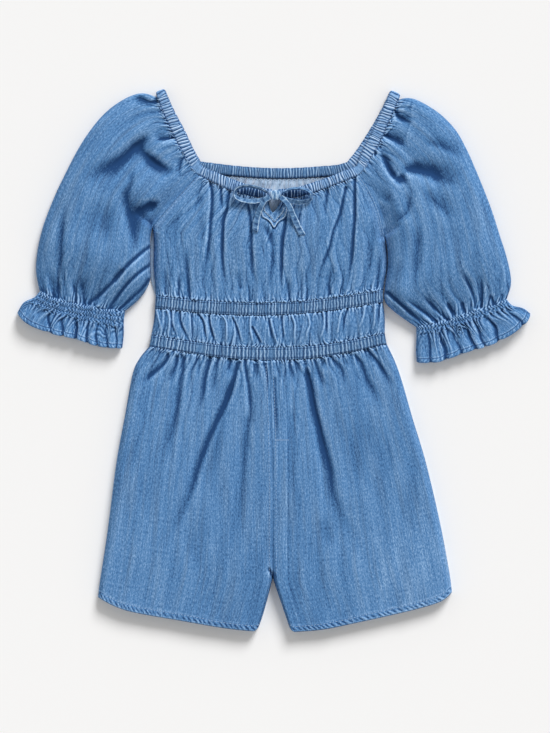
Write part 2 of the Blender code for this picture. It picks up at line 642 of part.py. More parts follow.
def tie(name, route, width_up, finish):
    """A flat tie along its route, (x, y, z) in millimetres. width_up is how far its width leans from flat to
    upright, in radians, at each end and the middle."""
    route = np.asarray(route, float)
    plan = curve(route[:, :2])
    chord = np.linalg.norm(np.diff(route[:, :2], axis=0), axis=1)
    share = np.concatenate([[0], np.cumsum(chord)]) / chord.sum()
    stations = np.linspace(0, 1, max(8, round(plan.length / 4)))
    xy = plan(stations)
    z = np.interp(stations, share, route[:, 2])
    lean = np.interp(stations, [0, 0.5, 1], width_up)
    points = space(xy, z)
    forward = np.gradient(points, axis=0)
    forward /= np.linalg.norm(forward, axis=-1, keepdims=True)
    side = np.cross(forward, [0.0, 0.0, 1.0])
    side /= np.linalg.norm(side, axis=-1, keepdims=True)
    up = np.cross(side, forward)
    wide = side * np.cos(lean)[:, None] + up * np.sin(lean)[:, None]
    thin = np.cross(wide, forward)
    rings = np.stack([
        points + wide * (TIE_WIDTH / 2 * w) + thin * (TIE_THICK / 2 * t)
        for w, t in ((-1, -0.5), (-0.8, 1), (0.8, 1), (1, -0.5), (0.8, -1), (-0.8, -1))
    ], axis=1)
    return bar(name, rings, finish)


def knot(name, centre, size, finish):
    """The bow's knot: a small block with every side rounded."""
    around = np.linspace(0, 2 * np.pi, 12, endpoint=False)
    lengthwise = np.linspace(0.12, np.pi - 0.12, 7)
    p, t = np.meshgrid(lengthwise, around, indexing="ij")
    rings = np.stack([np.cos(p), np.sin(p) * np.cos(t), np.sin(p) * np.sin(t)], axis=-1)
    rings = np.sign(rings) * np.abs(rings) ** 0.7
    return bar(name, np.asarray(centre) + rings * np.asarray(size) / 2, finish)


# ---------------------------------------------------------------- the romper

for old in list(bpy.data.objects):
    bpy.data.objects.remove(old)
ROMPER = bpy.data.objects.new("romper", None)
bpy.context.scene.collection.objects.link(ROMPER)

chambray = material("chambray", DENIM)
casing_cloth = material("casing_chambray", DENIM_DARK)
inside_cloth = material("chambray_inside", DENIM_INSIDE)


def build_bodice():
    sides = {"right": (RAGLAN_R, SIDE_R), "left": (RAGLAN_L, SIDE_L)}
    plan = patch(curve(NECK_SEAM), curve(UPPER_CASING_TOP), curve(*sides["right"]), curve(*sides["left"]))

    def side_edge(side):
        """Along the raglan seam the panel stands with the sleeve. Under the armpit it turns down to its
        seat."""
        raglan, whole = curve(sides[side][0]).length, curve(*sides[side]).length

        def edge(v):
            above = raglan - v * whole
            below = eased(-above / 8)
            top = np.where(above > 0, raglan_top(above), 1.3 * FOLD_H + (SEAT - 1.3 * FOLD_H) * below)
            return top, below, 9.0 + 0 * v

        return edge

    waves = np.linspace(0.05, 0.95, 2 * BODICE_GATHERS + 1)
    us = np.concatenate([[0, 0.008, 0.024], waves, [0.976, 0.992, 1]])
    vs = np.array([0, 0.07, 0.15, 0.25, 0.37, 0.5, 0.62, 0.74, 0.84, 0.92, 1.0])

    def gathers(u, v):
        """Gathers that spring from the neck and waist casings and fade towards the middle."""
        strength = (np.exp(-v / 0.16) + np.exp(-(1 - v) / 0.16)) * (np.abs(u - 0.5) < 0.46)
        return GATHER * strength * (1 - np.cos(2 * np.pi * BODICE_GATHERS * (u - 0.05) / 0.9))

    height = lambda v: swell(v, (0, NECK_EDGE_H), (0.45, BODICE_H), (1, WAIST_EDGE_H))
    front_panel("front_bodice", plan, us, vs, height, gathers, BODICE_FOLDS, side_edge("right"),
                side_edge("left"), chambray,
                keyhole={"x": 1.0, "rows": 2, "half_width": 5.5, "eases_over": 26.0})
    back = patch(curve(NECK_BACK_SEAM), curve(UPPER_CASING_TOP), curve(RAGLAN_R, BACK_SIDE_R),
                 curve(RAGLAN_L, BACK_SIDE_L))
    back_panel("back_bodice", back, 17, 12, inside_cloth)


def build_neck():
    low = SHOULDER_H - CASING_THICK / 2
    from_corner = lambda share: low + (NECK_CASING_H - 2 * RIB - SHOULDER_H) * eased(share * 4)
    on_surface = lambda share: CASING_THICK / 2 + 0 * share
    neck_band("neck_casing_front_right", NECK_FRONT_R, NECK_FRONT_RIBS, from_corner, casing_cloth)
    neck_band("neck_casing_front_left", NECK_FRONT_L, NECK_FRONT_RIBS, lambda share: from_corner(1 - share),
              casing_cloth)
    neck_band("neck_casing_back", NECK_BACK, NECK_BACK_RIBS, on_surface, casing_cloth)
    shoulder_band("shoulder_casing_right", SHOULDER_FRONT_R, SHOULDER_BACK_R, casing_cloth)
    shoulder_band("shoulder_casing_left", SHOULDER_FRONT_L, SHOULDER_BACK_L, casing_cloth)


def build_sleeve(name, shoulder, raglan, overarm, underarm, cuff, folds):
    """A puff sleeve: a flattened tube from the shoulder casing and raglan seams down to its cuff. cuff runs
    from the overarm side to the underarm side."""
    sewn = [row[2:] for row in shoulder]
    armhole = curve([sewn[0], raglan[0]], raglan).length
    inside_seam = curve([sewn[0], raglan[0]], raglan, underarm)
    pit = armhole / inside_seam.length
    plan = patch(curve(sewn[::-1]), curve(cuff), curve(overarm), inside_seam)
    above = np.array([0, 0.15, 0.32, 0.48, 0.64, 0.82])
    below = np.array([0, 0.14, 0.28, 0.41, 0.53, 0.65, 0.78, 0.9, 1])
    vs = np.concatenate([above * pit, pit + below * (1 - pit)])
    waves = np.linspace(0.14, 0.86, 2 * CUFF_GATHERS + 1)
    shares = (np.concatenate([[0, 0.012, 0.04, 0.085], waves, [0.915, 0.96, 0.988, 1]]),
              np.array([1, 0.985, 0.93, 0.75, 0.5, 0.25, 0.07, 0.015, 0]))

    def gathers(u, v):
        """Gathers that spring from the cuff."""
        strength = np.exp(-(1 - v) / 0.1) * (np.abs(u - 0.5) < 0.37)
        return GATHER * strength * (1 - np.cos(2 * np.pi * CUFF_GATHERS * (u - 0.14) / 0.72))

    height = lambda v: swell(v, (0, SHOULDER_H), (0.4, SLEEVE_H), (0.72, SLEEVE_H), (1, CUFF_H))
    middle = lambda v: swell(v, (0, FOLD_H), (0.4, FOLD_H + 1.0), (1, FOLD_H))
    over_reach = lambda v: swell(v, (0, 6.0), (0.35, 24.0), (0.8, 24.0), (1, 8.0))
    under_reach = lambda v: swell(v, (0, 16.0), (0.35, 20.0), (0.8, 20.0), (1, 8.0))
    tube(name, plan, shares, vs, height, fold_edge(middle, over_reach),
         armhole_edge(middle, under_reach, pit, inside_seam.length), gathers, folds, CLOTH, chambray,
         open_rows=len(above))


def build_ruffle(name, cuff, hem, start, end):
    """The elasticated cuff and the ruffle that springs from it."""
    plan = patch(curve(cuff), curve(hem), curve(start), curve(end))
    waved = np.linspace(0.05, 0.95, 2 * RUFFLE_WAVES + 1)
    shares = (np.concatenate([[0, 0.02], waved, [0.98, 1]]),
              np.array([1, 0.97, 0.84, 0.68, 0.5, 0.32, 0.16, 0.03, 0]))
    rows = np.array([0, 0.28, 0.62, 1.0])

    def waves(u, v):
        """Waves that grow from the cuff to the hem."""
        size = np.interp(v, rows, [0.6, 0.6, 1.2, 1.6]) * (np.abs(u - 0.5) < 0.46)
        return size * (1 - np.cos(2 * np.pi * RUFFLE_WAVES * (u - 0.05) / 0.9))

    height = lambda v: np.interp(v, rows, [CUFF_H, CUFF_H - 0.4, 0.5 * (CUFF_H + RUFFLE_H), RUFFLE_H])
    side = fold_edge(lambda v: FOLD_H + 0 * v, lambda v: 8.0 + 0 * v)
    tube(name, plan, shares, rows, height, side, side, waves, [], CLOTH, chambray)


def build_waist():
    casing_ring("waist_casing_upper", UPPER_CASING_TOP, UPPER_CASING_FOOT, casing_cloth)
    casing_ring("waist_casing_lower", LOWER_CASING_TOP, LOWER_CASING_FOOT, casing_cloth)
    plan = patch(curve(UPPER_CASING_FOOT), curve(LOWER_CASING_TOP), curve(MIDRIFF_SIDE_R),
                 curve(MIDRIFF_SIDE_L))
    waves = np.linspace(0.06, 0.94, 2 * MIDRIFF_GATHERS + 1)
    us = np.concatenate([[0, 0.01, 0.028], waves, [0.972, 0.99, 1]])

    def gathers(u, v):
        strength = GATHER * (np.abs(u - 0.5) < 0.45)
        return strength * (1 - np.cos(2 * np.pi * MIDRIFF_GATHERS * (u - 0.06) / 0.88))

    height = lambda v: swell(v, (0, MIDRIFF_H), (0.5, MIDRIFF_H + 0.4), (1, MIDRIFF_H))
    front_panel("front_midriff", plan, us, np.array([0, 0.2, 0.5, 0.8, 1]), height, gathers, [], seated_edge,
                seated_edge, chambray)
    back_panel("back_midriff", plan, 17, 3, chambray)


def build_shorts():
    """Four panels. The front ones meet at the centre seam, and come down on to the back ones at the inside
    leg."""
    waist = curve(LOWER_CASING_FOOT)
    shares = np.linspace(0, 1, 400)
    split = float(np.interp(CENTRE_SEAM[0][0], waist(shares)[:, 0], shares))
    centre = [tuple(waist(split)), *CENTRE_SEAM[1:]]
    height = lambda v: swell(v, (0, WAIST_EDGE_H), (0.4, SHORTS_H), (0.75, SHORTS_H), (1, HEM_H))

    def gathers(u, v):
        """Gathers that spring from the waist casing."""
        strength = np.exp(-v / 0.1) * (np.abs(u - 0.5) < 0.44)
        return 1.4 * GATHER * strength * (1 - np.cos(2 * np.pi * SHORTS_GATHERS * (u - 0.08) / 0.84))

    def centre_edge(inseam):
        """The centre seam stands at the panel's height, then drops to the seat at the crotch."""
        rise, whole = curve(centre).length, curve(centre, inseam).length

        def edge(v):
            low = eased(1 - (rise - v * whole) / 16)
            return height(v) - 0.6 - (height(v) - 0.6 - SEAT) * low, low, 10.0 + 0 * v

        return edge

    waves = np.linspace(0.08, 0.92, 2 * SHORTS_GATHERS + 1)
    us = np.concatenate([[0, 0.012, 0.035], waves, [0.965, 0.988, 1]])
    vs = np.array([0, 0.06, 0.16, 0.3, 0.45, 0.6, 0.72, 0.8, 0.86, 0.93, 1.0])
    right_waist = lambda t: waist(np.asarray(t) * split)
    left_waist = lambda t: waist(split + np.asarray(t) * (1 - split))
    right = patch(right_waist, curve(HEM_R), curve(SHORTS_SIDE_R), curve(centre, INSEAM_R))
    left = patch(left_waist, curve(HEM_L), curve(centre, INSEAM_L), curve(SHORTS_SIDE_L))
    front_panel("front_shorts_right", right, us, vs, height, gathers, SHORTS_FOLDS_R, seated_edge,
                centre_edge(INSEAM_R), chambray)
    front_panel("front_shorts_left", left, us, vs, height, gathers, SHORTS_FOLDS_L, centre_edge(INSEAM_L),
                seated_edge, chambray)
    back_panel("back_shorts_right", right, 9, 14, chambray)
    back_panel("back_shorts_left", left, 9, 14, chambray)


def build_bow():
    """The tie bow at the keyhole: two loops and two tails from one knot, on the casing and the bodice."""
    knot("tie_knot", (1.2, 139.4, 13.6), (9.6, 8.6, 5.2), chambray)
    for name, route, lean in TIES:
        tie(name, route, lean, chambray)


build_bodice()
build_neck()
build_sleeve("sleeve_right", SHOULDER_FRONT_R, RAGLAN_R, OVERARM_R, UNDERARM_R, CUFF_R, SLEEVE_FOLDS_R)
build_sleeve("sleeve_left", SHOULDER_FRONT_L, RAGLAN_L, OVERARM_L, UNDERARM_L, CUFF_L[::-1], SLEEVE_FOLDS_L)
build_ruffle("ruffle_right", CUFF_R, RUFFLE_HEM_R, RUFFLE_END_OUT_R, RUFFLE_END_IN_R)
build_ruffle("ruffle_left", CUFF_L, RUFFLE_HEM_L, RUFFLE_END_IN_L, RUFFLE_END_OUT_L)
build_waist()
build_shorts()
build_bow()
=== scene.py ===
# %% [markdown]
# # A baby's romper in washed chambray, laid flat
#
# The romper is one garment of many sewn pieces: a gathered bodice with a keyhole and a tie bow, puff
# sleeves that end in elasticated ruffles, a soft casing round the neck, two elastic casings at the waist
# with a gathered strip between them, and a pair of shorts in four panels.
#
# Every piece here is a closed sheet of cloth whose form is worked out as a function of two shares, u across
# the piece and v down it. The gathers, ribs and creases are heights that are added to that function, so
# they are real form in the mesh. The material then has to look like cloth, and its tone also carries
# painted shade and painted highlights.

import math

import bpy
import numpy as np
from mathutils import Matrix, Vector


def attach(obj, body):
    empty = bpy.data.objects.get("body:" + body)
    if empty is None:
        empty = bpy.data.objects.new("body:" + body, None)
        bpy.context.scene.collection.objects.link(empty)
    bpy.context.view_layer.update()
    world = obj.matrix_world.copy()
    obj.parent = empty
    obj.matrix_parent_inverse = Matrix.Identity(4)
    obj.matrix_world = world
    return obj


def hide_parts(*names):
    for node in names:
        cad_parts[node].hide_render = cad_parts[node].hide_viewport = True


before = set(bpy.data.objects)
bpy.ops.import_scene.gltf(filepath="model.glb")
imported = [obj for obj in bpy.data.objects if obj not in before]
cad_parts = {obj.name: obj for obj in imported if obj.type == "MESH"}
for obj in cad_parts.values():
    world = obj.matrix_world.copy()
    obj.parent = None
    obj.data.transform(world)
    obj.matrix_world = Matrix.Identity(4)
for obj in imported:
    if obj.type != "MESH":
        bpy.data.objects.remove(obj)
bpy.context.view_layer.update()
MM = 0.001
print("frame:", len(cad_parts), "nodes")

# %% [markdown]
# ## Camera, light and table
#
# The garment lies on a pale table and is seen from straight above with a long lens, so that its outline is
# hardly distorted. One wide soft lamp shines from beyond the neck, a little to the right, and a pale room
# fills the shadows. A hard lamp would show every crease, but it would look like sun and not like a studio.

# %% Camera
PICTURE = (550, 733)
MM_PER_PIXEL = 0.85
VIEW_CENTRE = (1.0, -6.0)  # millimetres
CAMERA_HEIGHT = 4.0
CLOTH_LEVEL = 0.006

camera = bpy.data.objects.new("camera", bpy.data.cameras.new("camera"))
bpy.context.scene.collection.objects.link(camera)
camera.location = (VIEW_CENTRE[0] * MM, VIEW_CENTRE[1] * MM, CAMERA_HEIGHT)
camera.data.sensor_fit = "VERTICAL"
camera.data.sensor_height = 36.0
seen_height = PICTURE[1] * MM_PER_PIXEL * MM
camera.data.lens = camera.data.sensor_height * (CAMERA_HEIGHT - CLOTH_LEVEL) / seen_height
camera.data.clip_end = 30.0
bpy.context.scene.camera = camera
print("lens:", round(camera.data.lens, 1), "mm")

# %% Light and table
LAMP_PLACE = Vector((0.56, 1.18, 0.95))  # only its direction counts: a sun lamp is infinitely far away
LAMP_ANGLE = math.radians(26)  # how wide it looks, which sets how soft its shadows are
LAMP_STRENGTH = 2.50
ROOM_LIGHT = (1.0, 0.992, 0.975, 1.0)
ROOM_STRENGTH = 0.48
TABLE_HALF, TABLE_LEVEL = 6.0, -3e-4  # metres


def far_lamp(name, place, angle, strength):
    """A lamp so far away that it lights the whole table evenly."""
    lamp = bpy.data.objects.new(name, bpy.data.lights.new(name, "SUN"))
    lamp.data.angle = angle
    lamp.data.energy = strength
    lamp.location = place
    lamp.rotation_euler = (-Vector(place)).to_track_quat("-Z", "Y").to_euler()
    bpy.context.scene.collection.objects.link(lamp)
    return lamp


def plain_material(name, colour, roughness):
    """One colour and roughness all over."""
    made = bpy.data.materials.new(name)
    made.use_nodes = True
    shader = made.node_tree.nodes["Principled BSDF"]
    shader.inputs["Base Color"].default_value = colour
    shader.inputs["Roughness"].default_value = roughness
    return made


far_lamp("key_lamp", LAMP_PLACE, LAMP_ANGLE, LAMP_STRENGTH)
world = bpy.data.worlds.new("pale_room")
world.use_nodes = True
room = world.node_tree.nodes["Background"]
room.inputs["Color"].default_value = ROOM_LIGHT
room.inputs["Strength"].default_value = ROOM_STRENGTH
bpy.context.scene.world = world
bpy.context.scene.view_settings.view_transform = "Standard"

table_mesh = bpy.data.meshes.new("table")
table_mesh.from_pydata([(x * TABLE_HALF, y * TABLE_HALF, TABLE_LEVEL)
                        for x, y in ((-1, -1), (1, -1), (1, 1), (-1, 1))], [], [(0, 1, 2, 3)])
table_mesh.materials.append(plain_material("pale_table", (0.974, 0.972, 0.973, 1.0), 0.9))
table = bpy.data.objects.new("table", table_mesh)
bpy.context.scene.collection.objects.link(table)
print("light and table placed")

# %% [markdown]
# ## The cloth's own colour
#
# Chambray has blue threads one way and white ones the other, so from near it is grainy and from afar it is
# a soft mid blue. Its threads are uneven, which gives faint streaks down the piece. Washing rubs the dye
# off whatever stands proud, so ridges go pale and the bottoms of folds stay dark. On top of that wear, the
# tone also carries painted shade in folds, grooves and hollows and under the bow, and a painted highlight
# on the lit side of the ribs and the tie edges.
#
# All of that is one node group. It could be painted as an image, but worked out from the piece's own
# running measures (its UV map, in metres) it has the right scale everywhere. The `relief` attribute, which
# is worked out with each mesh, says how far a point stands above the cloth round it, and adds the painted
# shade and painted highlights.

# %% The chambray node group


def chambray_group():
    """Colour and fine height of washed chambray. The tone is 0.5, plus the relief, which is wear with painted
    shade and painted highlights, plus streaks that are 1 mm wide and 34 mm long, plus fainter ones across
    them, plus grain of 0.9 by 2.4 mm, plus worn bands 4.5 mm wide and 110 mm long. Below 0.5 it goes from
    the base to the deep colour, and above 0.5 to the pale one, slowly at first. The base itself is greyer
    where the dye has gone."""
    group = bpy.data.node_groups.new("washed_chambray", "ShaderNodeTree")
    for name, kind, value in (
        ("Deep", "NodeSocketColor", (0.03, 0.10, 0.30, 1)),
        ("Base", "NodeSocketColor", (0.10, 0.26, 0.54, 1)),
        ("Pale", "NodeSocketColor", (0.35, 0.52, 0.78, 1)),
        ("Greyed", "NodeSocketColor", (0.14, 0.22, 0.40, 1)),
        ("Relief", "NodeSocketFloat", 0.3),
        ("Streaks", "NodeSocketFloat", 0.25),
        ("Grain", "NodeSocketFloat", 0.3),
        ("Patches", "NodeSocketFloat", 0.15),
    ):
        group.interface.new_socket(name=name, in_out="INPUT", socket_type=kind).default_value = value
    group.interface.new_socket(name="Color", in_out="OUTPUT", socket_type="NodeSocketColor")
    group.interface.new_socket(name="Height", in_out="OUTPUT", socket_type="NodeSocketFloat")
    nodes, links = group.nodes, group.links
    given, result = nodes.new("NodeGroupInput"), nodes.new("NodeGroupOutput")
    measures = nodes.new("ShaderNodeUVMap")
    measures.uv_map = "cloth"
    relief = nodes.new("ShaderNodeAttribute")
    relief.attribute_name = "relief"

    def noise(across, down, detail, roughness):
        """Noise whose features are `across` by `down` metres."""
        mapping = nodes.new("ShaderNodeMapping")
        mapping.inputs["Scale"].default_value = (1 / across, 1 / down, 1)
        texture = nodes.new("ShaderNodeTexNoise")
        texture.noise_dimensions = "2D"
        texture.inputs["Scale"].default_value = 1.0
        texture.inputs["Detail"].default_value = detail
        texture.inputs["Roughness"].default_value = roughness
        links.new(measures.outputs["UV"], mapping.inputs["Vector"])
        links.new(mapping.outputs["Vector"], texture.inputs["Vector"])
        return texture.outputs["Fac"]

    def maths(operation, a, b, clamp=False):
        node = nodes.new("ShaderNodeMath")
        node.operation = operation
        node.use_clamp = clamp
        for socket, value in zip(node.inputs, (a, b)):
            if isinstance(value, (int, float)):
                socket.default_value = value
            else:
                links.new(value, socket)
        return node.outputs["Value"]

    def about_half(fac, strength):
        """(fac - 0.5) * strength."""
        return maths("MULTIPLY", maths("SUBTRACT", fac, 0.5), strength)

    warp = noise(0.0011, 0.034, 2.0, 0.55)
    weft = noise(0.012, 0.0011, 2.0, 0.55)
    grain = noise(0.0009, 0.0024, 3.0, 0.75)
    patches = noise(0.0045, 0.110, 3.0, 0.55)
    tone = maths("ADD", 0.5, maths("MULTIPLY", relief.outputs["Fac"], given.outputs["Relief"]))
    for part in (about_half(warp, given.outputs["Streaks"]),
                 maths("MULTIPLY", about_half(weft, given.outputs["Streaks"]), 0.30),
                 about_half(grain, given.outputs["Grain"]), about_half(patches, given.outputs["Patches"])):
        tone = maths("ADD", tone, part)

    def mixed(a, b, share):
        node = nodes.new("ShaderNodeMix")
        node.data_type = "RGBA"
        links.new(share, node.inputs["Factor"])
        links.new(a, node.inputs["A"])
        links.new(b, node.inputs["B"])
        return node.outputs["Result"]

    dye = maths("MULTIPLY", maths("SUBTRACT", noise(0.005, 0.080, 2.0, 0.6), 0.44), 2.4, clamp=True)
    base = mixed(given.outputs["Base"], given.outputs["Greyed"], dye)
    below = maths("MULTIPLY", tone, 2.0, clamp=True)
    above = maths("POWER", maths("MULTIPLY", maths("SUBTRACT", tone, 0.5), 2.0, clamp=True), 1.35)
    lower = mixed(given.outputs["Deep"], base, below)
    links.new(mixed(lower, given.outputs["Pale"], above), result.inputs["Color"])

    def threads(direction, period):
        """Threads side by side, `period` metres apart: one sine wave for each thread."""
        wave = nodes.new("ShaderNodeTexWave")
        wave.bands_direction = direction
        wave.inputs["Scale"].default_value = 2 * math.pi / (20 * period)
        wave.inputs["Distortion"].default_value = 0.0
        links.new(measures.outputs["UV"], wave.inputs["Vector"])
        return wave.outputs["Fac"]

    weave = maths("MULTIPLY", threads("X", 0.00055), threads("Y", 0.00060))
    height = maths("ADD", maths("MULTIPLY", weave, 0.35), maths("MULTIPLY", grain, 0.9))
    height = maths("ADD", height, maths("MULTIPLY", warp, 0.7))
    links.new(height, result.inputs["Height"])
    return group


CHAMBRAY = chambray_group()
print("node group:", CHAMBRAY.name, "with", len(CHAMBRAY.nodes), "nodes")

# %% Cloth finishes
NAP_DEPTH = 0.00022  # metres


def cloth_material(name, deep, base, pale, **strengths):
    """One finish of the chambray, with its own colours and the strengths of its relief, streaks, grain and
    patches."""
    made = bpy.data.materials.new(name)
    made.use_nodes = True
    nodes, links = made.node_tree.nodes, made.node_tree.links
    shader = nodes["Principled BSDF"]
    for socket, value in (("Roughness", 0.92), ("Specular IOR Level", 0.15), ("Sheen Weight", 0.02),
                          ("Sheen Roughness", 0.6), ("Sheen Tint", (0.8, 0.88, 1.0, 1.0))):
        shader.inputs[socket].default_value = value
    group = nodes.new("ShaderNodeGroup")
    group.node_tree = CHAMBRAY
    greyed = (base[0] * 1.25, base[1] * 0.97, base[2] * 0.86)
    for socket, colour in (("Deep", deep), ("Base", base), ("Pale", pale), ("Greyed", greyed)):
        group.inputs[socket].default_value = (*colour, 1)
    for name_of_strength, value in strengths.items():
        group.inputs[name_of_strength.capitalize()].default_value = value
    links.new(group.outputs["Color"], shader.inputs["Base Color"])
    nap = nodes.new("ShaderNodeBump")
    nap.inputs["Distance"].default_value = NAP_DEPTH
    nap.inputs["Strength"].default_value = 0.7
    links.new(group.outputs["Height"], nap.inputs["Height"])
    links.new(nap.outputs["Normal"], shader.inputs["Normal"])
    return made


outside = cloth_material("chambray_outside", (0.014, 0.058, 0.176), (0.093, 0.246, 0.512),
                         (0.360, 0.580, 0.890), relief=0.42, streaks=0.46, grain=1.5, patches=0.32)
casing_cloth = cloth_material("chambray_over_elastic", (0.018, 0.056, 0.165), (0.094, 0.228, 0.448),
                              (0.400, 0.590, 0.830), relief=0.48, streaks=0.20, grain=1.2, patches=0.20)
neck_cloth = cloth_material("chambray_over_neck_elastic", (0.014, 0.055, 0.170), (0.186, 0.382, 0.700),
                            (0.560, 0.730, 0.960), relief=0.64, streaks=0.20, grain=1.2, patches=0.20)
inside = cloth_material("chambray_inner_face", (0.045, 0.085, 0.170), (0.430, 0.590, 0.785),
                        (0.790, 0.860, 0.930), relief=0.20, streaks=0.30, grain=0.7, patches=0.30)
tie_cloth = cloth_material("chambray_ties", (0.020, 0.070, 0.200), (0.130, 0.280, 0.510),
                           (0.520, 0.710, 0.920), relief=0.56, streaks=0.20, grain=1.4, patches=0.20)
print("finishes:", [m.name for m in (outside, casing_cloth, neck_cloth, inside, tie_cloth)])

# %% [markdown]
# ## Curves, patches and running measures
#
# A sewn piece is bounded by four seams, so its plan is a patch between four curves. Each seam's curve is
# given once, from the garment's right to its left or from neck to hem, and both pieces that are sewn
# together use it.

# %% Plan and profile helpers


def curve(*parts):
    """A function of t, 0 to 1, along one or more smooth curves through the given points, end to end: the
    cubic that passes each point with the slope of its two neighbours, by running length."""
    pieces = []
    for points in parts:
        p = np.asarray(points, float)
        ends = np.vstack([2 * p[0] - p[1], p, 2 * p[-1] - p[-2]])
        t = np.linspace(0, 1, 24, endpoint=False)[:, None]
        for a, b, c, d in zip(ends[:-3], ends[1:-2], ends[2:-1], ends[3:]):
            pieces.append(b + 0.5 * t * (c - a + t * (2 * a - 5 * b + 4 * c - d + t * (3 * (b - c) + d - a))))
    line = np.vstack([*pieces, p[-1:]])
    along = np.concatenate([[0.0], np.cumsum(np.linalg.norm(np.diff(line, axis=0), axis=1))])

    def at(t):
        s = np.asarray(t, float) * along[-1]
        return np.stack([np.interp(s, along, line[:, k]) for k in range(line.shape[1])], axis=-1)

    at.length = along[-1]
    return at


def patch(head, foot, start, end):
    """The Coons patch between four curves: the mean of the two ruled surfaces, less the one through the
    corners. u runs along head and foot, and v along start and end, from head to foot."""

    def plan(u, v):
        u, v = np.broadcast_arrays(np.asarray(u, float), np.asarray(v, float))
        a, b = u[..., None], v[..., None]
        along = (1 - b) * head(u) + b * foot(u)
        across = (1 - a) * start(v) + a * end(v)
        corners = (1 - b) * ((1 - a) * head(0.0) + a * head(1.0)) + b * ((1 - a) * foot(0.0) + a * foot(1.0))
        return along + across - corners

    return plan


def graded(total, coarse, fine=None, reach=1.0):
    """Shares from 0 to 1 of a length whose steps are `fine` at both ends and grow to `coarse`. The number of
    steps is a multiple of three, because a sheet's inner side uses every third one."""
    fine = fine or coarse
    s = np.linspace(0, total, 4001)
    step = fine + (coarse - fine) * np.clip(np.minimum(s, total - s) / reach, 0, 1)
    count = np.concatenate([[0], np.cumsum(np.diff(s) * 2 / (step[1:] + step[:-1]))])
    steps = 3 * math.ceil(count[-1] / 3)
    return np.interp(np.linspace(0, count[-1], steps + 1), count, s) / total


def running(points, axis):
    """The running length from the grid's first row (axis 0) or column (axis 1)."""
    steps = np.linalg.norm(np.diff(points, axis=axis), axis=-1)
    lead = np.zeros_like(np.take(steps, [0], axis=axis))
    return np.cumsum(np.concatenate([lead, steps], axis=axis), axis=axis)


def rounded(share):
    """A quarter circle: 0 at the fold, and 1 from share 1 on."""
    rest = 1 - np.clip(share, 0, 1)
    return np.sqrt(1 - rest * rest)


def eased(share):
    """A smooth step from 0 to 1."""
    t = np.clip(share, 0, 1)
    return t * t * (3 - 2 * t)


def swell(*stops):
    """A function of v whose height passes smoothly through its (v, height) stops, level at each of them."""
    places, heights = zip(*stops)

    def height(v):
        count = np.interp(v, places, range(len(places)))
        whole = np.floor(count)
        return np.interp(whole + eased(count - whole), range(len(places)), heights)

    return height


def level(height):
    """A function of v that gives one height everywhere."""
    return lambda v: height + 0 * v


def bell(x, middle, width):
    """A bell curve: 1 at the middle, and 1 / e at a width from it."""
    return np.exp(-(((x - middle) / width) ** 2))


def circle(count):
    """Angles of `count` points evenly round a circle."""
    return np.linspace(0, 2 * np.pi, count, endpoint=False)


def squarish(share, power):
    """A share from -1 to 1 drawn towards its ends, which makes a round profile squarish."""
    return np.sign(share) * np.abs(share) ** power


def unit(vectors):
    """Rows of vectors, each brought to length 1."""
    return vectors / np.linalg.norm(vectors, axis=-1, keepdims=True)


def space(xy, z):
    """Points from a plan and heights."""
    return np.concatenate([xy, np.broadcast_to(z, xy.shape[:-1])[..., None]], axis=-1)


print("a patch's middle:", patch(curve([(0, 1), (1, 1)]), curve([(0, 0), (1, 0)]), curve([(0, 1), (0, 0)]),
                                 curve([(1, 1), (1, 0)]))(0.5, 0.5))

# %% [markdown]
# ## Gathers, ribs and creases
#
# Gathered cloth stands in ridges that spring from the seam that holds it, narrow there and lower further
# out. A sine wave would look like corrugated iron, so each ridge has its own width, height, reach and lean.
# The large creases of the laid-out garment don't follow a rule, so they are listed one by one in short
# tables:
# a path, a half width at each end, a depth, and how much of the depth stands up as a lip beside it.

# %% Relief helpers


def between(s, knots):
    """The number of the last knot before each place, and the place's share of the way to the next one."""
    phase = np.interp(s, knots, np.arange(len(knots)))
    k = np.minimum(phase.astype(int), len(knots) - 2)
    return k, phase - k


def arched(share, power=1.0):
    """sin(pi * share) ** power: up from 0 and back to it. A high power makes it narrow."""
    return np.clip(np.sin(np.pi * share), 0, 1) ** power


def ridges(s, knots, heights, power=1.0):
    """A ridge between each two neighbouring knots along s."""
    k, share = between(s, knots)
    return heights[k] * arched(share, power)


def uneven_knots(low, high, pitch, rng, spread=0.45):
    """Places along a seam whose spacing is `pitch`, give or take `spread` of it."""
    count = int((high - low) / pitch * 1.5) + 8
    return low - 2 * pitch + np.cumsum(pitch * rng.uniform(1 - spread, 1 + spread, count))


def pleats(s, knots, heights, seed):
    """Ribs with round tops and narrow grooves, and their tone: painted shade in the grooves, and a thin pale
    line on each rib, nearer its lit side, that is wear and a painted highlight both."""
    rng = np.random.default_rng(seed)
    wear_and_highlight, lit = rng.uniform(0.3, 2.0, len(knots)), rng.uniform(0.42, 0.74, len(knots))
    k, share = between(s, knots)
    # Painted shade in the grooves; the pale line is wear with a painted highlight towards the lit side.
    groove_shade = bell(np.minimum(share, 1 - share), 0, 0.13)
    return heights[k] * arched(share, 0.8), wear_and_highlight[k] * bell(share, lit[k], 0.10) - 1.1 * groove_shade


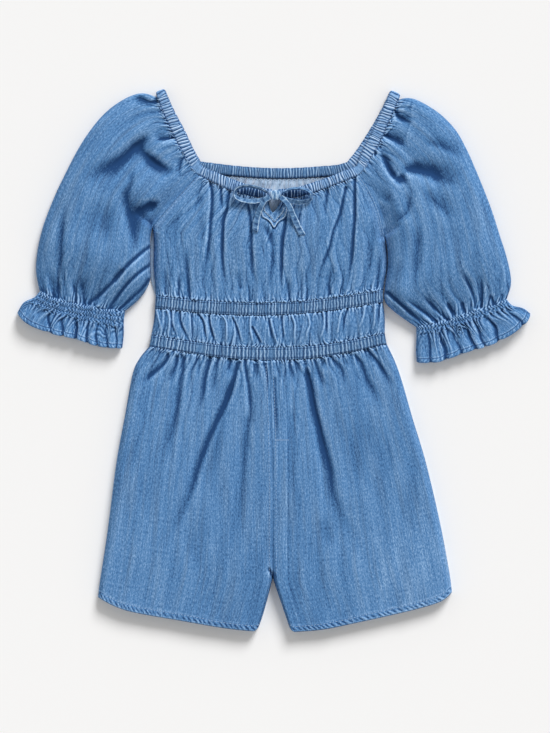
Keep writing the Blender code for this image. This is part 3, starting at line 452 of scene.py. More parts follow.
def gathers(s, d, pitch, height, reach, seed, lean=0.12, power=1.6):
    """Gathers along a seam: s runs along it and d is the distance from it. Each ridge has a random width,
    height and reach, leans its own way, and fades as exp(-d / reach). A power over 1 makes narrow ridges with
    flats between them, and a power under 1 makes round pillows with narrow valleys. The mean is taken off, so
    that the panel keeps its height."""
    rng = np.random.default_rng(seed)
    knots = uneven_knots(s.min(), s.max(), pitch, rng)
    tall = height * rng.uniform(0.35, 1.35, len(knots))
    far = reach * rng.uniform(0.55, 1.6, len(knots))
    leans = rng.normal(0, lean, len(knots))
    sway = 0.16 * pitch * np.sin(d / (0.35 * pitch + 2.0) + 2.1 * s / pitch)
    bent = s + np.minimum(d, 2 * reach) * np.interp(s, knots, leans) + sway * np.minimum(d / pitch, 1)
    k, share = between(bent, knots)
    return tall[k] * arched(share, power) * np.exp(-d / far[k]) - height * np.exp(-d / reach) / (1 + power)


def uneven(xy, size, height, seed):
    """A soft unevenness, mostly within `height`: eight waves about `size` long, each in its own direction."""
    rng = np.random.default_rng(seed)
    total = np.zeros(xy.shape[:-1])
    for turn in np.pi * np.arange(8) / 8 + rng.uniform(0, 0.35, 8):
        wave = 2 * np.pi / (size * rng.uniform(0.7, 1.6))
        total += np.sin(wave * (xy @ np.array([np.cos(turn), np.sin(turn)])) + rng.uniform(0, 6.28))
    return height * total / 3


def creases(xy, rows):
    """Soft troughs along paths. Across a path, at x half widths from it, the height is
    -depth * (0.85 * exp(-x * x) + 0.35 * exp(-x * x / 9)), plus lip * depth * x * exp(1 - x) on the lip's
    side: the side of +X for a path that runs down and a lip over 0. The other side, and both sides where
    there is no lip, are half as wide again. A narrow start springs from a seam and fades in at once; a wide
    one fades in over 1.6 times its half width squared. Every crease fades out over its last half."""
    total = np.zeros(xy.shape[:-1])
    for path, first_width, last_width, depth, lip in rows:
        line = curve(path)
        count = max(12, int(line.length / 1.2))
        spots = line(np.linspace(0, 1, count))
        slopes = unit(np.gradient(spots, axis=0))
        margin = 7 * max(first_width, last_width)
        near = np.all((xy > spots.min(0) - margin) & (xy < spots.max(0) + margin), axis=-1)
        here = xy[near]
        if not len(here):
            continue
        gap = here[:, None, :] - spots[None]
        k = np.argmin(np.einsum("ijk,ijk->ij", gap, gap), axis=1)
        gap = gap[np.arange(len(here)), k]
        along = k * line.length / (count - 1) + np.einsum("ij,ij->i", gap, slopes[k])
        share = np.clip(along / line.length, 0, 1)
        half_width = first_width + (last_width - first_width) * share
        x = (slopes[k, 0] * gap[:, 1] - slopes[k, 1] * gap[:, 0]) / half_width
        beside = np.maximum(x * np.sign(lip), 0) if lip else np.zeros_like(x)
        x = np.where(beside > 0, x, x / 1.5)
        form = -0.85 * np.exp(-x * x) - 0.35 * np.exp(-x * x / 9) + abs(lip) * beside * np.exp(1 - beside)
        beyond = np.maximum(along - line.length, 0) + np.maximum(-along, 0)
        lead = min(0.45 * line.length, 1.6 * first_width**2)
        fading = eased((along + 1) / (1 + lead)) * (1 - eased(2 * share - 1)) * np.exp(-beyond)
        total[near] += depth * form * fading
    return total


def hollow_shade(form):
    """Deep folds hold some shade: 0.09 of the tone for each millimetre that the creases go down, to 7 mm."""
    return 0.09 * np.clip(form, -7, 0)


def blurred(z, rows, columns):
    """The running mean of a grid over 2 * rows + 1 by 2 * columns + 1 points."""
    for axis, reach in ((0, rows), (1, columns)):
        pad = [(0, 0), (0, 0)]
        pad[axis] = (reach + 1, reach)
        sums = np.cumsum(np.pad(z, pad, mode="edge"), axis=axis)
        size = z.shape[axis]
        ahead = np.take(sums, np.arange(2 * reach + 1, 2 * reach + 1 + size), axis=axis)
        behind = np.take(sums, np.arange(size), axis=axis)
        z = (ahead - behind) / (2 * reach + 1)
    return z


def lowest(z, reach):
    """The lowest height within `reach` points of each point of the grid."""
    for axis in (0, 1):
        pad = [(0, 0), (0, 0)]
        pad[axis] = (reach, reach)
        wide = np.pad(z, pad, mode="edge")
        size = z.shape[axis]
        z = np.min([np.take(wide, np.arange(k, k + size), axis=axis) for k in range(2 * reach + 1)], axis=0)
    return z


SHARP, WIDE = 0.32, 2.2  # the millimetres that count as one step of tone, near and far


def standing(relief, rows, columns, seams=0.0):
    """How far each point stands above the cloth round it. Close round it, -1 to 1, its relief less the mean
    there counts, so that thin ridges go pale, and more so beside seams, where `seams` is near 1, and narrow
    troughs go dark: wear, with painted shade in the troughs. Over a window five times as wide it counts less,
    so that hollows are a little darker: painted shade."""
    close = (relief - blurred(relief, rows, columns)) / SHARP
    # The wide window's term is painted shade: hollows go darker, and high places hardly paler.
    far = np.clip((relief - blurred(relief, 5 * rows, 5 * columns)) / WIDE, -0.75, 0.1)
    return np.clip(close, -1, 1) + far + seams * np.clip(1.6 * close - 0.2, -0.4, 1.3)


def beside_seams(distances):
    """1 at a seam and fading away from it within a few millimetres, for the nearest of several distances."""
    return np.exp(-np.minimum.reduce(distances) / 2.6)


print("relief helpers ready")

# %% [markdown]
# ## A closed sheet of cloth
#
# Cloth has two sides and an edge, so each panel is a closed shell: a fine outer side that carries all the
# relief, a coarser inner side a wall's thickness inside it, and a rim that joins them. Solidify could make
# the inner side, but it would be as fine as the outer one and would cross itself in the narrow creases.

# %% Shell builder


def grid_quads(ids, left_out=None):
    """The quads between neighbouring rows and columns of point numbers. They face up where u runs to +X and
    v to -Y."""
    quads = np.stack([ids[:-1, :-1], ids[1:, :-1], ids[1:, 1:], ids[:-1, 1:]], axis=-1)
    return quads.reshape(-1, 4) if left_out is None else quads[~left_out]


def open_edges(quads):
    """The directed edges that no neighbouring quad shares."""
    a, b = quads.ravel(), np.roll(quads, -1, axis=1).ravel()
    size = int(quads.max()) + 1
    free = ~np.isin(a * size + b, b * size + a)
    return a[free], b[free]


def mesh_piece(name, points, faces, finish_of, finishes, uv, relief, flat=0):
    """One object at the origin from points in millimetres. faces is a list of arrays, each of faces with one
    number of corners; finish_of gives each array's material. The last `flat` arrays are shaded flat."""
    mesh = bpy.data.meshes.new(name)
    corners = np.concatenate([f.ravel() for f in faces]).astype(np.int32)
    sizes = np.concatenate([np.full(len(f), f.shape[1]) for f in faces])
    starts = np.concatenate([[0], np.cumsum(sizes)[:-1]]).astype(np.int32)
    mesh.vertices.add(len(points))
    mesh.vertices.foreach_set("co", (points * MM).astype(np.float32).ravel())
    mesh.loops.add(len(corners))
    mesh.loops.foreach_set("vertex_index", corners)
    mesh.polygons.add(len(sizes))
    mesh.polygons.foreach_set("loop_start", starts)
    mesh.update(calc_edges=True)
    kinds = np.concatenate([np.full(len(f), kind) for f, kind in zip(faces, finish_of)]).astype(np.int32)
    smooth = np.concatenate([np.full(len(f), k < len(faces) - flat) for k, f in enumerate(faces)])
    for finish in finishes:
        mesh.materials.append(finish)
    mesh.polygons.foreach_set("material_index", kinds)
    mesh.polygons.foreach_set("use_smooth", smooth)
    layer = mesh.uv_layers.new(name="cloth")
    layer.data.foreach_set("uv", (uv[corners] * MM).astype(np.float32).ravel())
    # The relief attribute is the tone: wear, with painted shade and painted highlights in it.
    mesh.attributes.new("relief", "FLOAT", "POINT").data.foreach_set("value", relief.astype(np.float32))
    mesh.calc_loop_triangles()
    thirds = np.empty(len(mesh.loop_triangles) * 3, np.int32)
    mesh.loop_triangles.foreach_get("vertices", thirds)
    a, b, c = points[thirds.reshape(-1, 3)].transpose(1, 0, 2)
    if np.einsum("ij,ij->", a, np.cross(b, c)) < 0:
        mesh.flip_normals()
    mesh.validate()
    made = bpy.data.objects.new(name, mesh)
    bpy.context.scene.collection.objects.link(made)
    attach(made, "root")
    print(f"{name}: {len(thirds) // 3} triangles")
    return made


def shell(name, blocks, outer, inner, uv, relief, finishes, stride=3, left_out=None):
    """A closed sheet. blocks are grids of numbers of points of `outer` and `inner`, and left_out marks quads
    of the first block that are an opening. The inner side uses every stride-th row and column, and each rim
    face joins one inner edge to the outer edges beside it."""
    outer, inner = outer.reshape(-1, 3), inner.reshape(-1, 3)
    uv, relief = uv.reshape(-1, 2), relief.ravel()
    stepped = None if left_out is None else left_out[::stride, ::stride]
    fine = np.vstack([grid_quads(b, left_out if k == 0 else None) for k, b in enumerate(blocks)])
    coarse = np.vstack([grid_quads(b[::stride, ::stride], stepped if k == 0 else None)
                        for k, b in enumerate(blocks)])
    following = np.full(len(outer), -1)
    a, b = open_edges(fine)
    following[a] = b
    start, end = open_edges(coarse)
    path = [start]
    for _ in range(stride - 1):
        path.append(following[path[-1]])
    assert np.all(following[path[-1]] == end), name
    outer_used, inner_used = np.unique(fine), np.unique(coarse)
    outer_id = np.searchsorted(outer_used, np.arange(len(outer)))
    inner_id = np.searchsorted(inner_used, np.arange(len(outer))) + len(outer_used)
    rim = np.stack([outer_id[end], *(outer_id[p] for p in path[::-1]), inner_id[start], inner_id[end]],
                   axis=1)
    points = np.vstack([outer[outer_used], inner[inner_used]])
    both = np.concatenate([outer_used, inner_used])
    return mesh_piece(name, points, [outer_id[fine], inner_id[coarse][:, ::-1], rim], (0, 1, 0), finishes,
                      uv[both], relief[both], flat=1)


print("shell builder ready")

# %% [markdown]
# ## The ties
#
# The cords come first, because their lengths are fixed: a bow is two loops and two tails of one narrow
# strip, folded lengthwise and stitched, about 5 mm wide. Each follows the route of its solid. Its profile
# is flat with a raised seam along both edges, carried along the route and leant over by an angle that
# changes on the way.

# %% Bow
TIE_WIDTH = 5.0
TIE_THICK = 1.6
TIE_STEP = 0.6
KNOT_CENTRE = np.array([1.2, 139.4, 13.6])
KNOT_SIZE = np.array([9.6, 8.6, 5.2])
# Each tie's middle line, (x, y, z) in millimetres, how far its width leans from flat to upright, in radians,
# at its start, middle and end, and whether it ends in the open.
TIES = [
    ("tie_loop_right", [(-4.4, 141.4, 14.4), (-13, 145.4, 14.8), (-23.5, 147.2, 15), (-31, 145, 15),
                        (-33.4, 140.4, 14.7), (-30.5, 136.4, 14.1), (-22.5, 134.2, 13.5),
                        (-13, 134.6, 13.2), (-4.4, 136.9, 13.2)], (1.35, 1.05, 0.1), False),
    ("tie_loop_left", [(6.8, 141.4, 14.4), (14, 144.4, 14.8), (22.5, 145, 15), (29.8, 142.6, 15),
                       (31.8, 138.2, 14.7), (28.8, 134.6, 14.1), (21, 133.6, 13.5), (13, 134.8, 13.2),
                       (6.8, 136.9, 13.2)], (1.35, 1.05, 0.1), False),
    ("tie_tail_right", [(-3.4, 137.6, 16), (-7.6, 135.2, 16.4), (-10.8, 129.8, 15.6), (-13.6, 123, 13.2),
                        (-15.4, 114.5, 12.9), (-15.8, 108, 12.9)], (0.2, 0.1, 0.0), True),
    ("tie_tail_left", [(5.8, 137.6, 16), (9.6, 134.4, 16.4), (13.4, 129, 15.6), (16.6, 121.5, 13.4),
                       (20.4, 113, 13.1), (24.6, 104.8, 13.1)], (0.2, 0.1, 0.0), True),
]


def band_mesh(name, rings, uv, relief, finish):
    """A closed band through its rings, each a closed loop of points, with both ends capped."""
    stations, around, _ = rings.shape
    ids = np.arange(stations * around).reshape(stations, around)
    closed = np.concatenate([ids, ids[:, :1]], axis=1)
    faces = [grid_quads(closed), ids[:1], ids[-1:, ::-1]]
    return mesh_piece(name, rings.reshape(-1, 3), faces, (0, 0, 0), [finish], uv.reshape(-1, 2),
                      relief.ravel(), flat=2)


def tie_band(node, route, lean, open_end, seed):
    """A flat strip along its route: at each station the profile is flat over four fifths of its width and
    round at both sides, with a seam ridge near each side."""
    rng = np.random.default_rng(seed)
    route = np.asarray(route, float)
    line = curve(route)
    shares = np.linspace(0, 1, int(line.length / TIE_STEP))
    points = line(shares)
    forward = unit(np.gradient(points, axis=0))
    side = unit(np.cross(forward, [0.0, 0.0, 1.0]))
    up = np.cross(side, forward)
    turn = np.interp(shares, [0, 0.5, 1], lean)[:, None]
    wide = side * np.cos(turn) + up * np.sin(turn)
    thin = np.cross(wide, forward)
    turns = circle(20)
    w, h = squarish(np.cos(turns), 0.45), squarish(np.sin(turns), 0.7)
    seam = 0.26 * bell(np.abs(w), 0.8, 0.13) * np.sign(h)
    s = shares * line.length
    starts = rng.uniform(0, 6.28, 6)
    pucker = 1 + 0.16 * np.sin(s / 0.8 + starts[0]) * np.sin(s / 2.9 + starts[1])
    crinkle = (np.sin(s[:, None] / 0.55 + 1.8 * w[None] + starts[2]) * np.sin(s[:, None] / 1.7 + starts[3])
               + 0.6 * np.sin(s[:, None] / 1.2 - 1.2 * w[None] + starts[4]))
    narrow = 1 - 0.12 * np.exp(-s / 2.5)
    if not open_end:
        narrow = narrow - 0.12 * np.exp(-(line.length - s) / 2.5)
    narrow = narrow * (1 + 0.05 * np.sin(s / 1.9 + starts[5]) + 0.04 * np.sin(s / 0.9 + starts[0]))
    if open_end:
        narrow = narrow * (1 + 0.14 * eased(shares * 1.6 - 0.4))
    half_w = (TIE_WIDTH / 2 * 0.97 * narrow)[:, None, None]
    half_h = (TIE_THICK / 2 * 0.80 * pucker)[:, None, None]
    rings = (points[:, None] + wide[:, None] * (half_w * w[None, :, None])
             + thin[:, None] * (half_h * (h + seam)[None, :, None]
                                + 0.13 * (crinkle * np.sign(h)[None] * (np.abs(w) < 0.9)[None])[..., None]))
    if open_end:
        # The strip is cut at a slant, so the last stations slide back along one side.
        slant = np.clip(1 - (line.length - s) / 4.0, 0, 1)[:, None, None]
        rings -= forward[:, None] * (slant * 1.3 * (w[None, :, None] + 1))
    uv = np.stack(np.broadcast_arrays(np.interp(turns, [0, 2 * np.pi], [0, 12])[None], s[:, None]), axis=-1)
    # Painted light: the pale line along each edge is the seam's wear with a painted highlight, paler on the
    # side towards the lamp; the rim gets painted shade, and the whole strip is 0.25 darker.
    lit = -w if node != "tie_loop_right" else w
    edge_highlight_and_rim_shade = (0.85 + 0.55 * lit) * bell(np.abs(w), 0.84, 0.13) - 0.7 * (np.abs(w) > 0.97) - 0.25
    relief = edge_highlight_and_rim_shade[None] + 0.28 * crinkle
    made = band_mesh(node.replace("tie", "bow"), rings, uv, relief, tie_cloth)
    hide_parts(node)
    path = line(np.linspace(0, 1, 24)) * MM
    print(f"{made.name}: {line.length:.1f} mm long")
    return made


def knot():
    """The bow's knot: a small pillow, an ellipsoid with squared shares, pinched by gathers that run across
    it."""
    lengthwise = np.linspace(0.03, np.pi - 0.03, 41)
    around = circle(48)
    p, t = np.meshgrid(lengthwise, around, indexing="ij")
    form = squarish(np.stack([np.cos(p), np.sin(p) * np.cos(t), np.sin(p) * np.sin(t)], axis=-1), 0.72)
    x, y = form[..., 0], form[..., 1]
    fold = np.sin(7.5 * x + 1.3 * y) + 0.5 * np.sin(13 * x - 2.0 * y)
    form = form * (1 + 0.05 * fold * np.sin(p))[..., None]
    rings = KNOT_CENTRE + form * KNOT_SIZE / 2 * 0.97
    uv = np.stack([lengthwise[:, None] * 3 + 0 * t, 2.5 * t], axis=-1)
    made = band_mesh("bow_knot", rings, uv, 0.45 * fold + 0.35, tie_cloth)
    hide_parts("tie_knot")
    return made


knot()
for number, (node, route, lean, open_end) in enumerate(TIES):
    tie_band(node, route, lean, open_end, 40 + number)
print("bow made")

# %% [markdown]
# ## Outlines
#
# These tables are the cut edges as they lie, (x, y) in millimetres: +X is the wearer's left and +Y the
# neck. Each is a short list of points for one smooth curve, and the two pieces that meet at a seam share
# it.

# %% Heights and outlines
WALL = 0.9  # one layer of cloth, as drawn here
BACK_TOP = 1.2  # the inner face of the back panels
SEAT = 1.7  # a front panel's edge at a side seam
FOLD_H = 4.0  # the middle of a tube's folded edge
FOLD_TOP, FOLD_LOW = 1.3, 0.7  # the two sides of such an edge, as shares of its middle's height
ARMPIT_H = FOLD_TOP * FOLD_H
WAIST_H, WAIST_EDGE_H = 10.2, 9.2
NECK_EDGE_H, BODICE_H, MIDRIFF_H = 9.2, 11.8, 8.6
SHORTS_H, HEM_H = 12.6, 10.8
SHOULDER_H, SLEEVE_H, CUFF_H, RUFFLE_H = 8.6, 19.5, 8.6, 11.5
NECK_CASING_H, CASING_THICK = 10.6, 3.0

NECK_SEAM = [(-64.6, 157), (-57.4, 153.2), (-49.8, 149.4), (-36.3, 143.6), (-20.6, 139), (1, 136),
             (19.6, 137.9), (35, 142.4), (56.6, 150.2), (64.8, 153.4), (72.5, 157)]
NECK_BACK_SEAM = [(-64.6, 157), (-34.9, 156.4), (2, 154.2), (38.9, 155.6), (72.5, 157)]
RAGLAN_R = [(-64.6, 157), (-83, 137), (-103, 113.5)]
RAGLAN_L = [(72.5, 157), (82, 143), (89.5, 125.5), (94.5, 105)]
SIDE_R = [(-103, 113.5), (-102, 97.5), (-102.3, 80.5), (-101, 63.5), (-100.5, 54)]
SIDE_L = [(94.5, 105), (96.3, 89), (96.1, 76), (94, 66), (93.2, 59)]
BACK_SIDE_R = [(-103, 113.5), (-104.7, 97.5), (-104.8, 80.5), (-104, 66), (-100.5, 54)]
BACK_SIDE_L = [(94.5, 105), (96.6, 89), (96.4, 76), (94.4, 64), (93.2, 59)]
UPPER_CASING_TOP = [(-100.5, 54), (-62.5, 50), (-33, 48.5), (-5, 48), (31, 50), (65, 54.5), (93, 59)]
UPPER_CASING_FOOT = [(-101.2, 43.7), (-62.5, 39.8), (-33, 38), (-5, 37.7), (31, 39.7), (65, 44), (93, 48.8)]
LOWER_CASING_TOP = [(-104.3, 20.5), (-71, 15.2), (-37, 11.2), (-3, 10), (31, 11.2), (65, 15.8),
                    (94.4, 22.3)]
LOWER_CASING_FOOT = [(-106, 11), (-71, 5.3), (-37, 1), (-3, -0.5), (31, 1), (65, 6.2), (96, 13.3)]
MIDRIFF_SIDE_R = [(-101.2, 43.7), (-102.2, 32), (-104.3, 20.5)]
MIDRIFF_SIDE_L = [(93, 48.8), (94.4, 36), (94.4, 22.3)]
SHORTS_SIDE_R = [(-106, 11), (-114.2, 1), (-120, -12), (-126.4, -46.5), (-133.8, -87), (-141.6, -147),
                 (-147.8, -187.5), (-149.6, -202)]
SHORTS_SIDE_L = [(96, 13.3), (103.2, -2), (109, -18.5), (118.2, -50.5), (129.2, -87), (141, -137),
                 (149, -179), (151.6, -198)]
HEM_R = [(-149.6, -202), (-135, -209.8), (-116.5, -215.4), (-76.5, -222.4), (-44, -228), (-20, -230.7),
         (-15.4, -230.1), (-12.9, -227.6)]
HEM_L = [(13.3, -227.9), (16, -230.7), (21, -231.3), (44.5, -229), (74.5, -222.8), (114.5, -213.8),
         (140.5, -206.2), (151.6, -198)]
CENTRE_SEAM = [(-4, -0.5), (-2, -46.5), (-1, -102.5), (-1, -145), (-0.8, -186)]
INSEAM_R = [(-0.8, -186), (-3.4, -196), (-6.6, -208), (-9.8, -219), (-12.9, -227.6)]
INSEAM_L = [(-0.8, -186), (2.4, -196), (6.2, -207), (9.6, -217), (13.3, -227.9)]
OVERARM_R = [(-99.3, 223), (-111, 226.4), (-122, 224), (-135, 216.6), (-146.5, 206.6), (-158, 192.2),
             (-167.5, 177), (-177.5, 157.5), (-185.5, 140.8), (-193.5, 121), (-198.5, 105), (-201.5, 89),
             (-202.2, 74), (-199.2, 58)]
OVERARM_L = [(106.2, 221), (113, 222.4), (121, 221), (132.5, 215), (143.5, 207), (155, 194.6), (164, 178.6),
             (172, 160.6), (180, 141), (186.2, 124.4), (192.2, 105.4), (197.5, 89), (201.2, 73),
             (201.5, 62.5), (198, 51)]
UNDERARM_R = [(-103, 113.5), (-104.7, 103.5), (-105, 90), (-104.9, 77), (-105.2, 67), (-109.8, 57.2),
              (-117, 48.8), (-126.5, 41)]
UNDERARM_L = [(94.5, 105), (96.6, 91), (96.5, 77), (94.4, 62), (94.1, 50), (101.2, 41.6), (110.5, 34.6),
              (121, 27.5)]
CUFF_R = [(-199.2, 58), (-188.5, 53), (-177, 49.5), (-156.5, 45.5), (-141, 42.5), (-126.5, 41)]
CUFF_L = [(198, 51), (178, 43.5), (154, 35.5), (135.5, 30.5), (121, 27.5)]
RUFFLE_HEM_R = [(-218.8, 38.5), (-210.5, 31), (-201.5, 26.4), (-186, 21), (-167.5, 17), (-153, 12),
                (-141, 9.8), (-128.8, 9.2)]
RUFFLE_HEM_L = [(218.8, 38.6), (213, 29.6), (198, 18.8), (181.5, 11.2), (168, 7.4), (148, 0.4),
                (137.5, -2.6), (121.4, -3)]
RUFFLE_OUT_R = [(-199.2, 58), (-203.6, 53), (-213, 48.2), (-218.8, 38.5)]
RUFFLE_IN_R = [(-126.5, 41), (-127.5, 32), (-127.5, 21.5), (-128.8, 9.2)]
RUFFLE_OUT_L = [(198, 51), (203, 46), (212, 43.6), (218.8, 38.6)]
RUFFLE_IN_L = [(121, 27.5), (121.2, 18), (120.8, 8), (121.4, -3)]

# A casing's rows are pairs of points across it: its neck edge first, then the edge that the cloth is sewn to.
SHOULDER_FRONT_R = [(-62.4, 166.4, -67.8, 158.4), (-68.5, 178, -77.3, 174.8), (-76.5, 194.5, -85.8, 191.5),
                    (-86, 213, -94.2, 209.8), (-91.5, 226, -99.3, 223)]
SHOULDER_FRONT_L = [(70.2, 164.2, 75.8, 158.6), (75, 177, 83.6, 171.8), (81.5, 190, 91, 186),
                    (87.5, 203, 97, 200), (94, 216, 102.6, 212.8), (97.5, 225, 106.2, 221)]
SHOULDER_BACK_R = [(-61.4, 167, -66.4, 160), (-68.2, 179, -76.9, 175.5), (-76, 195.5, -85.3, 192),
                   (-85.5, 213.5, -93.8, 210.2), (-91, 226, -98.8, 223)]
SHOULDER_BACK_L = [(62, 167.6, 68.4, 160.4), (70.2, 178, 78.8, 173), (79, 191.4, 88, 187),
                   (86.8, 204.4, 95.7, 200.6), (93.6, 217.2, 102.4, 213.2), (97.2, 225, 106, 221)]
NECK_FRONT_R = [(-63, 166.4, -68.2, 158.8), (-60.2, 164, -63.4, 156.4), (-55.6, 161.7, -57.4, 153.4),
                (-49, 159, -49.8, 149.6), (-34.5, 153, -36.3, 143.6), (-20, 148, -20.6, 139),
                (-1.5, 144.5, -1.5, 136)]
NECK_FRONT_L = [(3.5, 144.5, 3.5, 136), (19, 146.5, 19.6, 137.9), (33, 150.4, 35, 142.4),
                (53.5, 157.8, 56.6, 150.4), (60.8, 161, 64.8, 153.6), (67.4, 163.4, 72.4, 156.8),
                (70.6, 164.8, 76.4, 159.2)]
NECK_BACK = [(-62.4, 168.4, -66.2, 160), (-57, 167.8, -59.6, 158.6), (-34.5, 165, -34.9, 156.4),
             (2, 162.8, 2, 154.2), (38.5, 164.3, 38.9, 155.6), (58, 166.6, 61.4, 158),
             (64.6, 169, 69.6, 161)]


def raglan_top(above):
    """The height of the raglan seam on the front, at a distance above the armpit."""
    return ARMPIT_H + (SHOULDER_H - ARMPIT_H) * rounded(above / 22)


print("raglan seams:", round(curve(RAGLAN_R).length), "and", round(curve(RAGLAN_L).length), "mm")

# %% [markdown]
# ## Front panels
#
# A front panel lies over the back one. It is sewn to a casing along its top or bottom, where it dips into
# the seam, and it comes down to the back panel along its sides in a soft quarter round. Its relief fades
# towards those sides, because a seam holds cloth flat.

# %% Panel builders
SEAM_DIP, SEAM_WIDTH = 0.55, 0.7


def seam_dip(distance):
    """How far cloth sinks beside a seam: a bell of the distance."""
    return SEAM_DIP * bell(distance, 0, SEAM_WIDTH)


def pressed_seam(distance, at, depth=0.35, width=0.4):
    """The groove of a line of stitches at a distance from an edge."""
    return -depth * bell(distance, at, width)


def hem_fold(s, d, deep, seed, rope=0.50, pitch=4.5):
    """A turned-up hem over the last `deep` millimetres: a second layer that stands 0.35 mm, a groove at its
    stitches, and the slanting ropes that washing leaves in it."""
    rng = np.random.default_rng(seed)
    knots = uneven_knots(s.min() - 10, s.max() + 10, pitch, rng, 0.3)
    ropes = ridges(s + 0.9 * d, knots, rng.uniform(0.5, 1.3, len(knots)), 1.2) - 0.5
    inside_hem = eased((deep + 0.3 - d) / 0.8)
    hump = arched(np.clip(d / deep, 0, 1))
    return 0.35 * inside_hem + rope * ropes * inside_hem * hump + pressed_seam(d, deep)


def hem_line(d, deep):
    """The tone beside a hem's stitches: a worn line above them, and a dark one below."""
    wide = 0.13 * deep
    return 0.9 * bell(d - deep, 1.3 * wide, wide) - 0.7 * bell(d - deep, -wide, wide)


def edge_round(distance):
    """How far a free edge turns down over its last millimetre or so."""
    return 1 - rounded(distance / 1.3)


def with_ends(added, down, sewn):
    """A relief with its head and foot dipped into their seams where they are sewn, and else rounded off."""
    for wanted, distance in zip(sewn, (down, down[-1:] - down)):
        added = added - (seam_dip(distance) if wanted else edge_round(distance))
    return added


def side_rise(distance, reach, closed, open_reach):
    """How far cloth has risen at a distance from its side: in a quarter round over `reach` where the side is
    turned under (1), and in a soft step over `open_reach` where it is open or sewn level (0)."""
    return closed * rounded(distance / reach) + (1 - closed) * eased(distance / open_reach)


def front_panel(name, plan, us, vs, height, relief, start_edge, end_edge, sewn, keyhole=None, blur=(2, 2)):
    """A front panel. Its top is height(v), brought down to each side's own top over its reach, plus the
    relief: in a quarter round where the side is turned under (1), and in a soft step where it is sewn level
    with its neighbour (0). sewn says whether its head and foot dip into a seam. relief gives the heights, and
    a shade to add to the tone."""
    u, v = np.meshgrid(us, vs)
    xy = plan(u, v)
    across, down = running(xy, 1), running(xy, 0)
    base, rise = height(v), np.ones_like(u)
    for distance, edge in ((across, start_edge), (across[:, -1:] - across, end_edge)):
        top, reach, turned = edge(v)
        share = side_rise(distance, reach, turned, reach)
        base = np.minimum(base, top + (height(v) - top) * share)
        rise = np.minimum(rise, turned * share + (1 - turned) * eased(distance / 3))
    added, shade = relief(xy, u, v, across, down)
    added = with_ends(added * eased(1.5 * rise - 0.4), down, sewn)
    z = np.maximum(base + added, SEAT)
    under = np.maximum(lowest(z, 2) - WALL, BACK_TOP + 0.1)
    uv = np.stack([u * across[:, -1].max(), down], axis=-1)
    seams = [d for wanted, d in zip(sewn, (down, down[-1:] - down)) if wanted]
    pale = standing(added, *blur, seams=beside_seams(seams)) + shade
    ids = np.arange(u.size).reshape(u.shape)
    if not keyhole:
        return shell(name, [ids], space(xy, z), space(xy, under), uv, pale, [outside, inside])
    # The column at the keyhole is doubled, and its two copies are drawn apart over the first rows.
    column, tip = keyhole["column"], keyhole["tip"]
    half = np.zeros(len(vs))
    half[: tip + 1] = keyhole["half_width"](np.arange(tip + 1) / tip)
    away = np.abs(xy[..., 0] - xy[:, column, 0][:, None])
    slide = half[:, None] * np.clip(1 - away / keyhole["eases_over"], 0, 1)
    left, right = np.s_[:, : column + 1], np.s_[:, column:]

    def parted(values, drawn_apart=False):
        copies = values[left].copy(), values[right].copy()
        if drawn_apart:
            copies[0][..., 0] -= slide[left]
            copies[1][..., 0] += slide[right]
        return np.concatenate(copies, axis=1)

    ids = np.arange(len(vs) * (len(us) + 1)).reshape(len(vs), -1)
    ids[tip:, column + 1] = ids[tip:, column]
    sunk = 1.6 * bell(away, 0, 3.0) * eased(half[:, None] / 2.0)
    return shell(name, [ids[:, : column + 1], ids[:, column + 1:]], parted(space(xy, z - sunk), True),
                 parted(space(xy, under - sunk), True), parted(uv), parted(pale[..., None]),
                 [outside, inside])


def seated_edge(v):
    """A side seam: the edge turns down on to the back panel."""
    return SEAT + 0 * v, 7.0 + 0 * v, 1.0 + 0 * v


def back_panel(name, plan, us, vs, relief, highest=1.5):
    """A back panel: one layer on the table, its inner face up. Its relief is never under the table."""
    u, v = np.meshgrid(us, vs)
    xy = plan(u, v)
    across, down = running(xy, 1), running(xy, 0)
    sides = np.minimum(np.minimum(across, across[:, -1:] - across), np.minimum(down, down[-1:] - down))
    lift = np.clip(relief(xy, u, v, across, down), 0, highest) * eased(sides / 6)
    uv = np.stack([u * across[:, -1].max(), down], axis=-1)
    # Painted shadow: the tone is 3 darker in a bell 2.3 mm wide at the head seam, below the casing that casts
    # it.
    pale = -standing(lift, 3, 3) - 3.0 * bell(down, 0, 2.3)
    return shell(name, [np.arange(u.size).reshape(u.shape)], space(xy, lift + BACK_TOP), space(xy, lift), uv,
                 pale, [inside, outside], stride=1)


print("panel builders ready")

# %% [markdown]
# ## Tubes
#
# A sleeve and a waist casing are tubes that lie flat: over the top from one folded side to the other, then
# back underneath on the table. The sleeve's inner side is open above the armpit, where its edges run along
# the raglan seams of the bodice's front and back.

# %% Tube builder
SIDE_INSET = 0.7  # how far a closed side is drawn in, because its fold needs some room


